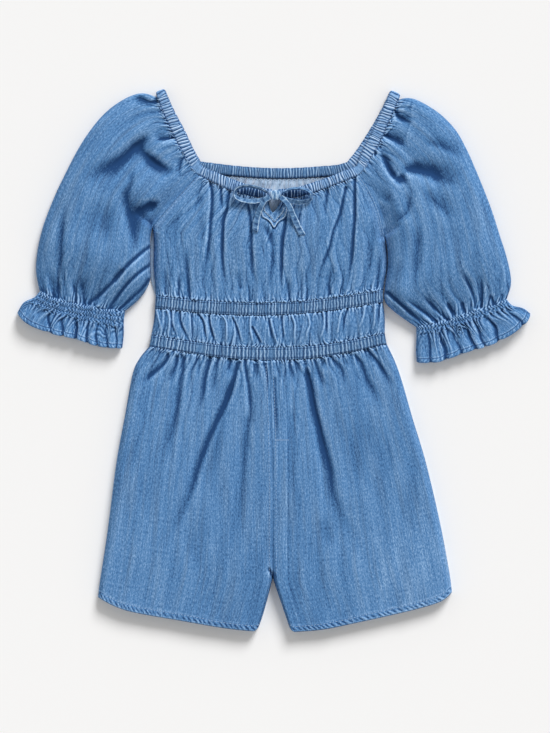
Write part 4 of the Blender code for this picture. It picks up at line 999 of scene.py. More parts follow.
def tube(name, plan, u_top, u_under, vs, height, start, end, relief, relief_under, finishes, wall=WALL,
         opening=None, dips=(True, True)):
    """A flattened tube. Across it the columns are the top from u = 0 to 1, two round the fold at u = 1, the
    underside from u = 1 to 0, and two round the fold at u = 0. start(v) and end(v) give each side's top and
    low heights, its reach, and 1 where it is closed. relief gives the heights on top and their tone."""
    v = np.asarray(vs, float)[:, None]
    width = np.linalg.norm(plan(np.ones_like(v), v) - plan(np.zeros_like(v), v), axis=-1)
    sides = start(v), end(v)

    def place(u, drawn):
        """The plan at share u, with both closed sides drawn in."""
        a, b = (drawn * side["closed"] / width for side in sides)
        return plan(a + u * (1 - a - b), v)

    def nearest(u, key):
        return np.where(u < 0.5, sides[0][key], sides[1][key])

    top_u, under_u = u_top[None], u_under[::-1][None]
    top_xy = place(top_u, SIDE_INSET)
    down = running(top_xy, 0)

    def risen(open_reach=None):
        """How far the top has risen from the nearer side."""
        return np.minimum(*(side_rise(d, side["reach"], side["closed"], open_reach or side["reach"])
                            for d, side in zip((top_u * width, (1 - top_u) * width), sides)))

    side_top = nearest(top_u, "top")
    added, tone = relief(top_xy, top_u + 0 * v, v + 0 * top_u, running(top_xy, 1), down)
    added = with_ends(added * eased(1.5 * risen(3) - 0.3), down, dips)
    top_z = side_top + (height(v) - side_top) * risen() + added
    under_xy = place(under_u, SIDE_INSET)
    from_side = np.minimum(under_u, 1 - under_u) * width
    flat = rounded(from_side / 3.0)
    lift = np.clip(relief_under(under_xy, under_u + 0 * v, v + 0 * under_u), 0, 1.5)
    under_z = nearest(under_u, "low") * (1 - flat) + lift * eased(from_side / 8 - 0.3)

    def fold(u, from_z, to_z):
        """Two columns round a folded side."""
        share = np.array([[1 / 3, 2 / 3]])
        return space(place(np.full((1, 2), u), 0.12 * SIDE_INSET), from_z + (to_z - from_z) * share)

    outer = np.concatenate([space(top_xy, top_z), fold(1.0, top_z[:, -1:], under_z[:, :1]),
                            space(under_xy, under_z), fold(0.0, under_z[:, -1:], top_z[:, :1])], axis=1)
    inner_top = space(place(top_u, SIDE_INSET + wall), lowest(top_z, 2) - wall)
    inner_under = space(place(under_u, SIDE_INSET + wall), under_z + wall)
    inner = np.concatenate([inner_top, inner_top[:, -2:], inner_under, inner_top[:, :2]], axis=1)
    share = np.concatenate([u_top, [1, 1], u_under[::-1], [0, 0]])[None] + 0 * v
    uv = np.stack([share * width.max(), running(outer, 0)], axis=-1)
    no_tone = np.zeros((len(vs), 2))
    pale = np.concatenate([tone, no_tone, -standing(lift, 3, 2), no_tone], axis=1)
    ids = np.arange(share.size).reshape(share.shape)
    ids = np.concatenate([ids, ids[:, :1]], axis=1)
    left_out = None
    if opening:
        left_out = np.zeros((ids.shape[0] - 1, ids.shape[1] - 1), bool)
        left_out[:opening, len(u_top) - 1: len(u_top) + 2] = True
    return shell(name, [ids], outer, inner, uv, pale, finishes, left_out=left_out)


def folded_side(middle, reach):
    """A closed side of a tube: the height of its fold's middle, and how far in it swells."""
    return lambda v: {"top": FOLD_TOP * middle(v), "low": FOLD_LOW * middle(v), "reach": reach(v),
                      "closed": 1.0 + 0 * v}


print("tube builder ready")

# %% [markdown]
# ## Bodice
#
# The front bodice is gathered along the neck casing and along the waist casing, so its soft folds hang
# between two rows of puckers. At the neck it is slit for a keyhole, whose edges are faced and stitched. The
# back bodice shows only its paler inner face, through the neckline.

# %% Bodice
# Each crease: its path, the half width at its start and end, its depth, and its lip.
BODICE_CREASES = [
    ([(-54, 152.5), (-52.5, 138), (-53.5, 121), (-55, 101.5), (-57.5, 82), (-59, 66.5), (-58, 50.5)],
      1.4, 2.2, 1.9, -0.18),
    ([(-36.5, 147.5), (-39.5, 129.5), (-42.5, 117.5), (-43.5, 101.5), (-43.5, 87), (-42, 72.5),
      (-39.5, 60.5), (-38.5, 49.5)], 1.4, 1.7, 2.2, 0.22),
    ([(-45, 149), (-44.5, 137), (-44, 125.5)], 1.1, 1.8, 1.6, 0.18),
    ([(-22, 135.5), (-19.5, 117.5), (-19, 96.5), (-18, 77.5), (-16.5, 62.5), (-18.5, 49)],
      1.3, 2, 1.5, 0.14),
    ([(-10, 117), (-3.5, 105), (-1, 92), (-2.5, 71), (-5.5, 48)], 2.6, 1.7, 1.8, -0.14),
    ([(11, 123), (9.5, 113.5), (7.5, 101.5), (7, 84.5), (6.5, 69), (7, 48)], 1.8, 1.4, 2.2, 0.18),
    ([(61, 147.5), (60, 141.5), (56, 123.5), (50.5, 109), (47, 94.5), (41, 79.5), (38, 67.5), (36.5, 53)],
      1.2, 2, 1.7, -0.18),
    ([(69, 159.5), (69, 133), (68.5, 115), (67.5, 101.5), (66.5, 87), (64, 72.5), (63, 55.5)],
      1.3, 1.5, 2.2, 0.22),
    ([(46.5, 147.5), (44, 129.5), (44.5, 118.5)], 1.1, 2.2, 1.4, 0.14),
    ([(83.5, 123), (84, 101.5), (80, 72.5), (75, 57.5)], 3.4, 1.8, 0.99, 0.11),
    ([(-71.5, 50.5), (-72.5, 63.5), (-74, 83), (-74.5, 101.5)], 1.1, 3.1, 1.6, -0.14),
    ([(-80.5, 49.5), (-81, 61), (-79, 78)], 0.96, 2.2, 1.5, 0.18),
    ([(-91.5, 50.5), (-92, 67.5), (-94, 83)], 0.96, 2.4, 0.99, -0.14),
    ([(-84.5, 93), (-83, 114.5), (-79.5, 135.5)], 3.3, 3.1, 0.72, 0),
    ([(-62.5, 144), (-62, 123), (-63, 93)], 2.4, 3.1, 0.81, 0),
    ([(-28, 59), (-30.5, 69.5), (-32, 78)], 1.3, 3.2, 0.9, 0.14),
    ([(23, 50.5), (23.5, 61), (20.5, 83)], 0.96, 3.1, 1.2, 0.14),
    ([(12.5, 49), (13, 59), (10.5, 71)], 0.96, 2.2, 0.99, 0.11),
    ([(48, 54), (47, 66), (50.5, 83)], 0.96, 3.1, 1.1, -0.14),
    ([(87.5, 59), (89.5, 78), (91, 95)], 1.3, 2.6, 1.2, -0.11),
    ([(19, 108.5), (19.5, 123), (16.5, 131.5)], 3.7, 2.4, 1.1, 0),
]
# The stitched V round the keyhole, and the crease below it.
KEYHOLE_STITCHES = [(-10.8, 131), (-10.5, 127), (-9.2, 121.8), (-5.1, 119.2), (-2.4, 116.4), (0.2, 112.3),
                    (2.7, 115.9), (5, 118.3), (8.8, 120.8), (10.4, 125), (10.8, 130)]
KEYHOLE_INNER_STITCHES = [(-8.2, 129.5), (-7.4, 125.4), (-4.2, 122.2), (-1.6, 119.4), (0.4, 116.8),
                          (2.4, 119.2), (4.6, 121.8), (7.4, 124.8), (8.4, 129)]
KEYHOLE_X, KEYHOLE_TIP_Y, KEYHOLE_EASES_OVER = 1.0, 123.4, 24.0
NECK_LENGTH, WAIST_LENGTH = 146.0, 196.0
BODICE_LONG, BACK_BODICE_LONG, MIDRIFF_LONG = 96, 100, 28


def flipped(xy):
    """The same places on the garment's other side."""
    return xy * np.array([-1.0, 1.0])


def curls(s, d, seed):
    """The small crooked puckers close beside a gathered seam."""
    return gathers(s, d, 2.6, 1.8, 2.1, seed, lean=0.8, power=2.6)


def bodice_relief(xy, u, v, across, down):
    """Puckers, gathers and long folds from both seams, the placed creases, and the stitched V."""
    up = down[-1:] - down
    neck, waist = u * NECK_LENGTH, u * WAIST_LENGTH
    held = eased(np.minimum(u, 1 - u) / 0.05)
    z = gathers(neck, down, 4.4, 1.1, 6, 1, power=0.7)
    z = held * (z + gathers(neck, down, 8.5, 1.4, 22, 2, power=0.6))
    z = z + gathers(neck, down, 17.0, 1.5, 60, 3, lean=0.05, power=0.7)
    z = z + held * curls(neck, down, 8)
    z = z + gathers(waist, up, 4.2, 1.2, 4, 4, lean=0.2, power=0.7)
    z = z + gathers(waist, up, 8.0, 1.2, 13, 5, power=0.5)
    z = z + gathers(waist, up, 15.0, 1.3, 50, 6, lean=0.05, power=0.7)
    z = z + curls(waist, up, 9)
    folds = creases(xy, BODICE_CREASES)
    z = z + folds + uneven(xy * np.array([1, 0.3]), 20, 0.2, 7)
    outer = [(x * 1.09, y - 0.9) for x, y in KEYHOLE_STITCHES]
    sunk = [(rows[::step], 0.5, 0.5, depth, step * 0.8) for rows, depth in
            ((outer, 0.6), (KEYHOLE_INNER_STITCHES, 0.4)) for step in (1, -1)]
    return z + creases(xy, sunk), hollow_shade(folds)


def bodice_edge(raglan_points, side_points):
    """Along the raglan seam the panel stands with the sleeve. Under the armpit it turns down to its seat."""
    raglan, whole = curve(raglan_points).length, curve(raglan_points, side_points).length

    def edge(v):
        above = raglan - v * whole
        below = eased(-above / 8)
        top = np.where(above > 0, raglan_top(above), ARMPIT_H + (SEAT - ARMPIT_H) * below)
        return top, 9.0 + 0 * v, eased(-above / 5)

    return edge


def keyhole_half_width(share):
    """The half width of the keyhole from the casing, at share 0, to its tip: a drop."""
    return 6.0 * (1 - share) ** 0.62


def front_bodice():
    """The front, with a column of its grid at the keyhole and a row at the keyhole's tip."""
    plan = patch(curve(NECK_SEAM), curve(UPPER_CASING_TOP), curve(RAGLAN_R, SIDE_R), curve(RAGLAN_L, SIDE_L))
    shares = np.linspace(0, 1, 2000)
    slit = float(np.interp(KEYHOLE_X, curve(NECK_SEAM)(shares)[:, 0], shares))
    first = graded(WAIST_LENGTH * slit, 0.62, 0.5, 6)
    second = graded(WAIST_LENGTH * (1 - slit), 0.62, 0.5, 6)
    us = np.concatenate([first * slit, slit + (1 - slit) * second[1:]])
    vs = graded(BODICE_LONG, 0.85, 0.5, 10)
    tip = int(np.argmin(np.abs(plan(slit, vs)[:, 1] - KEYHOLE_TIP_Y))) // 3 * 3
    height = swell((0, NECK_EDGE_H), (0.45, BODICE_H), (1, WAIST_EDGE_H))
    return front_panel("bodice_front", plan, us, vs, height, bodice_relief, bodice_edge(RAGLAN_R, SIDE_R),
                       bodice_edge(RAGLAN_L, SIDE_L), (True, True),
                       keyhole={"column": len(first) - 1, "tip": tip, "half_width": keyhole_half_width,
                                "eases_over": KEYHOLE_EASES_OVER})


def back_bodice():
    """The back, which rises in a low arch behind the keyhole."""
    plan = patch(curve(NECK_BACK_SEAM), curve(UPPER_CASING_TOP), curve(RAGLAN_R, BACK_SIDE_R),
                 curve(RAGLAN_L, BACK_SIDE_L))

    def relief(xy, u, v, across, down):
        z = gathers(u * NECK_LENGTH, down, 3.2, 0.6, 4, 11, lean=0.9, power=2.6)
        z = z + gathers(u * NECK_LENGTH, down, 8, 0.7, 20, 12, lean=0.4) + uneven(xy, 12, 0.25, 14)
        z = z + gathers(u * WAIST_LENGTH, down[-1:] - down, 5, 0.9, 12, 13)
        arch = 2.9 * np.exp(-np.sum(((xy - [1.0, 132.0]) / [13.0, 13.0]) ** 2, axis=-1))
        return arch + np.clip(0.35 + z - 0.5 * creases(flipped(xy), BODICE_CREASES), 0, 1.5)

    return back_panel("bodice_back", plan, graded(WAIST_LENGTH, 1.1), graded(BACK_BODICE_LONG, 1.25), relief,
                      highest=5.5)


bodice = front_bodice()
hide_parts("front_bodice")
bodice_back = back_bodice()
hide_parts("back_bodice")

# %% [markdown]
# ## Puff sleeves and their ruffles
#
# A raglan sleeve is one piece of cloth from the casing at the neck to the ruffle's hem. It is gathered into
# the casing at its head. Near its other end, rows of elastic thread draw it in, and what is left below them
# flares out as the ruffle. So it is modelled as one tube: its plan goes through two patches, one above the
# elastic and one below. Ridges between the elastic rows are pinched at each row. The flutes of the ruffle
# grow from nothing at the elastic to their full height at the hem, between valleys that are listed.

# %% Sleeves
SLEEVE_R_CREASES = [
    ([(-118.8, 163.6), (-121.4, 148.3), (-125.4, 137.5), (-123.4, 124.5), (-120.5, 111), (-119, 98)],
      2.6, 3.4, 1.3, 0.1),
    ([(-126, 154), (-124, 136), (-120, 116), (-116, 98), (-113, 82)], 6, 5, 5.4, -0.12),
    ([(-96.5, 133.5), (-105, 131), (-112.5, 127), (-119, 122), (-126, 117)], 2.4, 7, 4.6, -0.15),
    ([(-136, 136), (-141.5, 122), (-142, 106), (-139, 94)], 4.6, 5.5, 1.8, 0.1),
    ([(-105, 192.5), (-111, 186), (-119, 178.5), (-128, 170.5), (-138, 163.5), (-150, 157), (-166, 151)],
      3.4, 10, 6.4, -0.08),
    ([(-117, 180.5), (-113.5, 178.5), (-105.5, 171), (-95.5, 163.5), (-86, 160), (-79.5, 159.5)],
      4.2, 4.8, 5.6, 0.2),
    ([(-81.5, 188.5), (-90.5, 187.5), (-98, 186.5), (-103.5, 185)], 1.4, 3.2, 2.2, 0.5),
    ([(-96.5, 220.5), (-105, 219), (-115, 222.5), (-122, 224)], 1.7, 4.1, 2.3, -0.4),
    ([(-76.5, 172.5), (-79.5, 164.5), (-80.5, 152.5)], 2, 2.6, 1.5, 0.3),
    ([(-176.5, 138), (-179, 110), (-180.5, 82), (-177, 52)], 4.4, 2.4, 1.5, 0.4),
    ([(-105, 123), (-104, 112), (-106, 96.5)], 2.7, 1.8, 1.3, 0.3),
    ([(-103.5, 97.5), (-112, 90.5), (-123.5, 80), (-134, 68.4), (-147.7, 54.8), (-157, 47.5), (-172, 34),
      (-188, 20)], 1.5, 1.9, 1.8, 0.1),
    ([(-101.5, 84), (-107, 79), (-117, 71), (-127, 60.5), (-137.5, 47), (-147, 34), (-157, 21)],
      1.4, 1.6, 1.7, 0.1),
    ([(-104, 70), (-112, 60), (-121.5, 51), (-131, 42.5), (-141, 33), (-151, 24)], 1.5, 1.7, 1.6, 0.1),
    ([(-127, 76.5), (-132, 70), (-137.5, 62.5)], 1.5, 3.2, 1.2, 0.3),
    ([(-150.5, 139), (-153.5, 118.5), (-155.5, 96.5)], 6.8, 6.8, 0.9, 0),
    ([(-161.5, 44.5), (-162, 57.5), (-165.5, 74.5)], 1.4, 4.6, 1.5, 0.3),
    ([(-187.5, 50.5), (-188.5, 64), (-191, 79.5)], 1.3, 4.6, 1.4, 0.3),
    ([(-183, 49.5), (-182.5, 59), (-184.5, 71)], 1.1, 3.5, 1.1, -0.3),
    ([(-169, 47), (-169, 57.5), (-171.5, 69.5)], 1.1, 3.5, 1.4, 0.3),
]
SLEEVE_L_CREASES = [
    ([(124, 184), (138.5, 183), (152, 176.5), (163, 166)], 4.4, 5, 1.8, -0.2),
    ([(99.5, 214.5), (102, 212), (106, 206), (114.5, 202), (121, 202)], 1.6, 4.1, 2.8, -0.5),
    ([(93, 192.5), (95, 190), (102.5, 186.5), (109.5, 182.5), (115, 181.5)], 1.8, 4.6, 2.8, -0.4),
    ([(104.5, 151), (98.5, 160), (94, 170), (89, 181)], 2.2, 3.2, 4.2, 0.3),
    ([(102.5, 149), (108, 154), (114, 158)], 2.4, 4, 3.6, 0.1),
    ([(106, 157.5), (115, 161), (125, 160.5), (136, 157), (148, 152), (162, 146)], 3.2, 10, 5.8, -0.1),
    ([(125, 149), (134, 137), (146, 124.5), (150.5, 112)], 5.7, 6.8, 2, -0.3),
    ([(117, 147.5), (113.5, 126), (105, 117.5), (101.5, 106.5)], 3.5, 3.8, 1.8, 0.4),
    ([(92, 133), (97, 137), (103, 138.5)], 3, 5, 1, -0.1),
    ([(88, 134), (89.5, 125.5), (90, 115)], 2.4, 3.5, 0.8, 0),
    ([(94, 112.5), (95.5, 91), (95.5, 72.5)], 1.4, 1.6, 0.8, 0.2),
    ([(93.5, 59), (100, 53), (110, 44.5), (121, 35.5), (134, 27.5)], 1.7, 2, 2.2, -0.35),
    ([(139.5, 30), (128.5, 39), (117, 47.5), (108, 54)], 1.3, 2.4, 1.9, 0.3),
    ([(149, 32), (138.5, 41.5), (129, 51), (123.5, 58)], 1.3, 2.6, 1.9, 0.3),
    ([(171, 42), (169.5, 54), (164, 66), (158, 77)], 1.2, 2.4, 2, 0.35),
    ([(176.5, 43), (177, 58), (175.5, 74.5)], 1.2, 2.4, 1.5, -0.3),
    ([(125, 117), (122.5, 98), (120.5, 76), (119, 58)], 3.6, 5.4, 2, 0.1),
    ([(108.5, 86.5), (104, 72.5), (99, 62.5)], 3, 4.6, 0.7, 0),
    ([(146.5, 49), (150.5, 41), (155, 34.5)], 1.8, 1.3, 1.7, -0.4),
    ([(184, 55.5), (187, 48), (189.5, 42)], 1.6, 1.1, 1.4, 0.4),
    ([(160, 49.5), (161.5, 43), (163.5, 37)], 1.5, 1.1, 1.4, 0.4),
]
SLEEVE_LONG, SLEEVE_WIDE, RUFFLE_LONG = 176.0, 88.0, 34.0  # the lengths that the grid's steps are set by
RUFFLE_HEM_DEEP = 3.7
# The ruffle's valleys: each one's place at the elastic and at the hem, as shares of the width from the
# overarm side, and its depth.
RUFFLE_VALLEYS_R = [(0, 0, 0.6), (0.18, 0.345, 1.7), (0.33, 0.46, 0.4), (0.48, 0.585, 2.6),
                    (0.6, 0.69, 1.5), (0.7, 0.78, 0.8), (0.8, 0.87, 0.6), (0.92, 0.95, 0.9), (1, 1, 0.6)]
RUFFLE_VALLEYS_L = [(0, 0, 0.6), (0.06, 0.11, 0.9), (0.24, 0.33, 2.3), (0.41, 0.45, 0.9), (0.5, 0.525, 1.9),
                    (0.64, 0.65, 0.4), (0.78, 0.77, 2.1), (0.89, 0.89, 0.6), (1, 1, 0.6)]


def shirring(s, d, band, row_gap, seed):
    """Cloth drawn in by rows of elastic thread, row_gap apart over the band: narrow ridges across the rows,
    pinched at each row, whose places shift a little from row to row."""
    rng = np.random.default_rng(seed)
    knots = uneven_knots(s.min() - 5, s.max() + 5, 2.5, rng, 0.35)
    tall = rng.uniform(0.5, 1.25, len(knots))
    shift = 0.8 * np.sin(2 * np.pi * d / (2.3 * row_gap) + 0.4 * s) + 0.5 * np.sin(1.9 * d + 0.13 * s)
    pinch = np.abs(np.sin(np.pi * (d + 0.5 * np.sin(s / 2.3)) / row_gap)) ** 0.7
    within = eased((d + 1.2) / 1.2) * eased((band + 1.5 - d) / 1.5)
    return within * (1.5 * ridges(s + shift, knots, tall, 2.0) * (0.55 + 0.45 * pinch) - 0.6 + 0.25 * pinch)


def sleeve(side, shoulder, raglan, overarm, underarm, cuff, hem, out_end, in_end, rows, valleys, band,
           row_gap, head_relief, seed):
    """A sleeve with its ruffle, and its plan. The elastic's rows are row_gap apart over the band's depth."""
    sewn = [row[2:] for row in shoulder]
    inside_seam = curve([sewn[0], raglan[0]], raglan, underarm)
    armhole = curve([sewn[0], raglan[0]], raglan).length
    pit = armhole / inside_seam.length
    upper = patch(curve(sewn[::-1]), curve(cuff), curve(overarm), inside_seam)
    lower = patch(curve(cuff), curve(hem), curve(out_end), curve(in_end))
    at_elastic, at_hem, deep = np.array(valleys).T
    steep_side = np.where(np.arange(len(deep)) % 3, 1, -1)

    def plan(u, v):
        """The sleeve, then the ruffle, whose hem droops a little between its valleys."""
        u, v = np.broadcast_arrays(np.asarray(u, float), np.asarray(v, float))
        beyond = np.maximum(v - 1, 0)
        droop = 0.07 * beyond**2 * (ridges(u, at_hem, np.ones(len(deep)), 0.8) - 0.6)
        return np.where((v <= 1)[..., None], upper(u, np.minimum(v, 1)), lower(u, beyond + droop))

    def piecewise(above, below):
        return lambda v: np.where(v <= 1, above(np.minimum(v, 1)), below(np.maximum(v - 1, 0)))

    ruffle_heights = [CUFF_H, CUFF_H - 0.3, CUFF_H, RUFFLE_H - 0.4]
    height = piecewise(swell((0, SHOULDER_H), (0.4, SLEEVE_H), (0.72, SLEEVE_H), (1, CUFF_H)),
                       lambda v: np.interp(v, [0, 0.28, 0.62, 1], ruffle_heights))
    middle = piecewise(swell((0, FOLD_H), (0.4, FOLD_H + 1.0), (1, FOLD_H)), level(FOLD_H))
    over_reach = piecewise(swell((0, 6.0), (0.35, 24.0), (0.8, 24.0), (1, 8.0)), level(8.0))
    under_reach = piecewise(swell((0, 16.0), (0.35, 20.0), (0.8, 20.0), (1, 8.0)), level(8.0))
    closed_fold = folded_side(middle, under_reach)

    def armhole_side(v):
        """Open above the armpit: its top edge is on the front's raglan seam, its low one on the back's."""
        fold = closed_fold(v)
        above = (pit - v) * inside_seam.length
        opened = {"top": raglan_top(above), "low": FOLD_LOW * FOLD_H * (1 - eased(above / 14)),
                  "reach": fold["reach"]}
        side = {key: np.where(above > 0.01, value, fold[key]) for key, value in opened.items()}
        return {**side, "closed": eased(-above / 4)}

    cuff_length, head_length = curve(cuff).length, curve(sewn).length

    def flutes(u, below, to_hem):
        """The ruffle's round flutes, and the hollows between them, which spread apart from the elastic to the
        hem. A hollow is steeper on one side, and a shallow one ends sooner."""
        flare = eased((below - band * 0.7) / 12)
        drop = (below / (below + to_hem + 1e-6))[..., None]
        swayed = (u + 0.008 * np.sin(below / 4 + 11 * u) * eased(below / 14))[..., None]
        valley = at_elastic + (at_hem - at_elastic) * drop
        past = np.clip((swayed - valley[..., :-1]) / np.diff(valley, axis=-1), 0, 1).sum(-1)
        tall = np.take(0.6 + 0.55 * (deep[:-1] + deep[1:]), np.minimum(past.astype(int), len(deep) - 2))
        gap = (swayed - valley) * cuff_length * 1.2
        half_width = (0.8 + 0.45 * deep) * (0.7 + 0.7 * drop) * (1 + 0.45 * np.sign(gap) * steep_side)
        closing = eased(8 * drop) * np.exp(-2.4 * drop / deep)
        hollows = np.max(1.25 * deep * closing * bell(gap, 0, half_width), axis=-1)
        return flare * (tall * arched(past % 1, 0.7) - 1.1), flare * hollows

    def relief(xy, u, v, across, down):
        """The sleeve's gathers and creases, the elastic, the flutes with puckers above them, and the hem."""
        past_cuff = down - down[int(np.argmin(np.abs(v[:, 0] - 1)))]
        above, below = np.maximum(-past_cuff, 0), np.maximum(past_cuff, 0)
        to_hem = down[-1:] - down
        s, head = u * cuff_length, u * head_length
        z = gathers(head, down, 4.6, 1.2 * head_relief, 6, seed, power=0.7)
        z = z + gathers(head, down, 9, 1.3, 17, seed + 1, power=0.7)
        z = z + 1.2 * curls(head, down, seed + 12)
        on_sleeve = eased((above + 0.01) / 1.5)
        z = z + on_sleeve * (gathers(s, above, 3.2, 1.6, 4.5, seed + 2, power=1.2)
                             + gathers(s, above, 6.5, 1.3, 14, seed + 3, power=0.6)
                             + gathers(s, above, 12, 1.0, 28, seed + 4, lean=0.06, power=0.8))
        folds = creases(xy, rows) * np.where(v <= 1, 1, np.exp(-below / 3))
        z = z + folds + on_sleeve * uneven(np.stack([1.4 * s, 0.3 * down], axis=-1), 16, 0.3, seed + 5)
        z = z + shirring(s, past_cuff, band, row_gap, seed + 6)
        rounds, hollows = flutes(u, below, to_hem)
        z = z + rounds - hollows
        puckers = gathers(s, np.maximum(below - band * 0.8, 0), 3.6, 2.6, 6.5, seed + 8, lean=0.5, power=1.7)
        z = z + np.where(above > 0, 0, puckers) * eased((below - band + 3) / 3)
        z = z + hem_fold(u * cuff_length * 1.25, to_hem, RUFFLE_HEM_DEEP, seed + 9, rope=0.42, pitch=3.2)
        tone = standing(z, 2, 3, seams=beside_seams([down, above + below + 1.5, to_hem + 4]))
        # Painted shade: the sleeve darker just above the elastic, fading over 16 mm, and the ruffle 0.08
        # darker; everything below the elastic is 0.12 darker still.
        past_elastic, on_ruffle = eased(below / 2), eased((below - band + 2) / 3)
        shaded = 0.36 * on_sleeve * np.exp(-above / 16) + 0.08 * on_ruffle
        tone = tone * (1 - 0.4 * past_elastic + 0.35 * on_ruffle) - 0.12 * past_elastic - shaded
        return z, tone + hollow_shade(folds) + hem_line(to_hem, RUFFLE_HEM_DEEP)

    def relief_under(xy, u, v):
        s = u * cuff_length
        knots = uneven_knots(-5, s.max() + 5, 4.5, np.random.default_rng(seed + 10))
        z = 1.4 * np.exp(-np.abs(v - 1) / 0.12) * ridges(s, knots, np.ones(80))
        shifted = creases(xy + np.array([5.0, 4.0]), rows)
        return z - 0.5 * shifted * (v < 1) + 0.2 * uneven(xy, 20, 1.0, seed + 11)

    above_pit = graded(pit * SLEEVE_LONG, 0.86, 0.45, 5) * pit
    below_pit = pit + (1 - pit) * graded((1 - pit) * SLEEVE_LONG, 0.86)
    ruffle = 1 + graded(RUFFLE_LONG, 0.55, 0.4, 3)
    vs = np.concatenate([above_pit, below_pit[1:], ruffle[1:]])
    made = tube(f"sleeve_{side}_with_ruffle", plan, graded(SLEEVE_WIDE, 0.50, 0.35, 5),
                graded(SLEEVE_WIDE, 2.2, 0.8, 8), vs, height, folded_side(middle, over_reach), armhole_side,
                relief, relief_under, [outside, inside], opening=len(above_pit) - 1, dips=(True, False))
    return made, plan


sleeve_right, sleeve_right_plan = sleeve("right", SHOULDER_FRONT_R, RAGLAN_R, OVERARM_R, UNDERARM_R, CUFF_R,
                                         RUFFLE_HEM_R, RUFFLE_OUT_R, RUFFLE_IN_R, SLEEVE_R_CREASES,
                                         RUFFLE_VALLEYS_R, band=14.0, row_gap=4.6, head_relief=1.0,
                                         seed=100)
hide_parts("sleeve_right", "ruffle_right")
sleeve_left, sleeve_left_plan = sleeve("left", SHOULDER_FRONT_L, RAGLAN_L, OVERARM_L, UNDERARM_L, CUFF_L,
                                       RUFFLE_HEM_L, RUFFLE_OUT_L, RUFFLE_IN_L, SLEEVE_L_CREASES,
                                       RUFFLE_VALLEYS_L, band=7.5, row_gap=3.7, head_relief=1.1,
                                       seed=200)
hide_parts("sleeve_left", "ruffle_left")

# %% [markdown]
# ## Neck and shoulder casings
#
# The casing is a strip of the same cloth folded over narrow elastic, which gathers it into ribs all the
# way. Round the neck it is a flat band. Over each shoulder it goes up the front half, over in a fold, and
# down the back half underneath. The profile is a flattened superellipse, carried along the band between its
# two edges, and the ribs stand on it.

# %% Casing bands


def rails(rows):
    """The two edges of a casing as functions of one shared share: cubic steps between the rows, with the
    slope at each row taken from its neighbours."""
    rows = np.asarray(rows, float)
    middle = (rows[:, :2] + rows[:, 2:]) / 2
    along = np.concatenate([[0], np.cumsum(np.linalg.norm(np.diff(middle, axis=0), axis=1))])
    slopes = np.gradient(rows, along, axis=0)

    def at(share):
        s = np.asarray(share, float) * along[-1]
        k = np.clip(np.searchsorted(along, s, side="right") - 1, 0, len(along) - 2)
        step = along[k + 1] - along[k]
        t, step = ((s - along[k]) / step)[..., None], step[..., None]
        value = ((1 + 2 * t) * (1 - t) ** 2 * rows[k] + t * (1 - t) ** 2 * step * slopes[k]
                 + t**2 * (3 - 2 * t) * rows[k + 1] - t**2 * (1 - t) * step * slopes[k + 1])
        return value[..., :2], value[..., 2:]

    at.length = along[-1]
    return at


RIB_H, RIB_PITCH = 0.9, 2.3


def loop_shadow(places):
    """The painted shadow of the bow's two loops on the casing: 1 behind the middle of each loop, where little
    light comes in, and 0 past them.
    """
    return np.maximum(*(np.exp(-((places[..., 0] - x) / 12.5) ** 4 - ((places[..., 1] - y) / 6.0) ** 4)
                        for x, y in ((-20.5, 140.5), (20.0, 139.0))))


def ribbed_band(name, a, b, z, up, seed, pitch, plain_start=0.0, plain_end=0.0, rib_height=0.7,
                finish=neck_cloth):
    """A casing between its edges a and b, with its middle at height z and its face towards `up`. Each rib
    runs across the band with its own width, height and slant. The table keeps the underside flat."""
    rng = np.random.default_rng(seed)
    turns = circle(26)
    w, h = squarish(np.cos(turns), 0.62), squarish(np.sin(turns), 0.62)
    middle = space((a + b) / 2, z)
    s = running(middle, 0)
    knots = uneven_knots(0, s[-1], pitch, rng, 0.4)
    tall = rng.uniform(0.45, 1.15, len(knots))
    slant = np.interp(s, knots, rng.normal(0, 0.4, len(knots)))[:, None]
    bent = s[:, None] + slant * w[None] + 0.25 * np.sin(2.2 * w[None] + s[:, None] / 2.7)
    gathered = (eased((s - plain_start) / 3) * eased((s[-1] - plain_end - s) / 3))[:, None]
    rib, tone = pleats(bent, knots, tall, seed)
    rib = rib * gathered
    stitched = 0.22 * bell(np.abs(w), 0.80, 0.07)[None]
    faced = np.clip(np.abs(h), 0, 1)[None] ** 0.5 * (1 - np.abs(w[None]) ** 8)
    half = space((b - a) / 2, 0.0)
    bulge = 1 + 0.02 * np.sin(s / 1.3)
    thick = (CASING_THICK / 2 * 0.96) * h[None] + np.sign(h)[None] * (rib_height * rib - stitched) * faced
    rings = middle[:, None] + half[:, None] * (w[None] * bulge[:, None])[..., None]
    rings = rings + up[:, None] * thick[..., None]
    rings[..., 2] = np.maximum(rings[..., 2], 0.02)
    round_it = np.interp(turns, [0, 2 * np.pi], [0, 24])[None]
    uv = np.stack(np.broadcast_arrays(s[:, None] * 1.4, round_it), axis=-1)
    # Painted shade on top of the ribs' tone: darker on both edges, along the stitches' groove, and in the
    # loops' painted shadow.
    edges = 0.7 * (np.abs(w) > 0.93)[None]
    relief = tone * gathered - edges - 0.5 * (stitched > 0.08) - 0.95 * loop_shadow(rings)
    return band_mesh(name, rings, uv, np.broadcast_to(relief, rings.shape[:2]), finish)


def neck_band(name, rows, z, seed, pitch=RIB_PITCH, **looks):
    """A flat casing whose middle is at height z(share)."""
    edges = rails(rows)
    stations = np.linspace(0, 1, int(edges.length / 0.36))
    a, b = edges(stations)
    up = np.tile([0.0, 0.0, 1.0], (len(stations), 1))
    return ribbed_band(name, a, b, z(stations), up, seed, pitch, **looks)


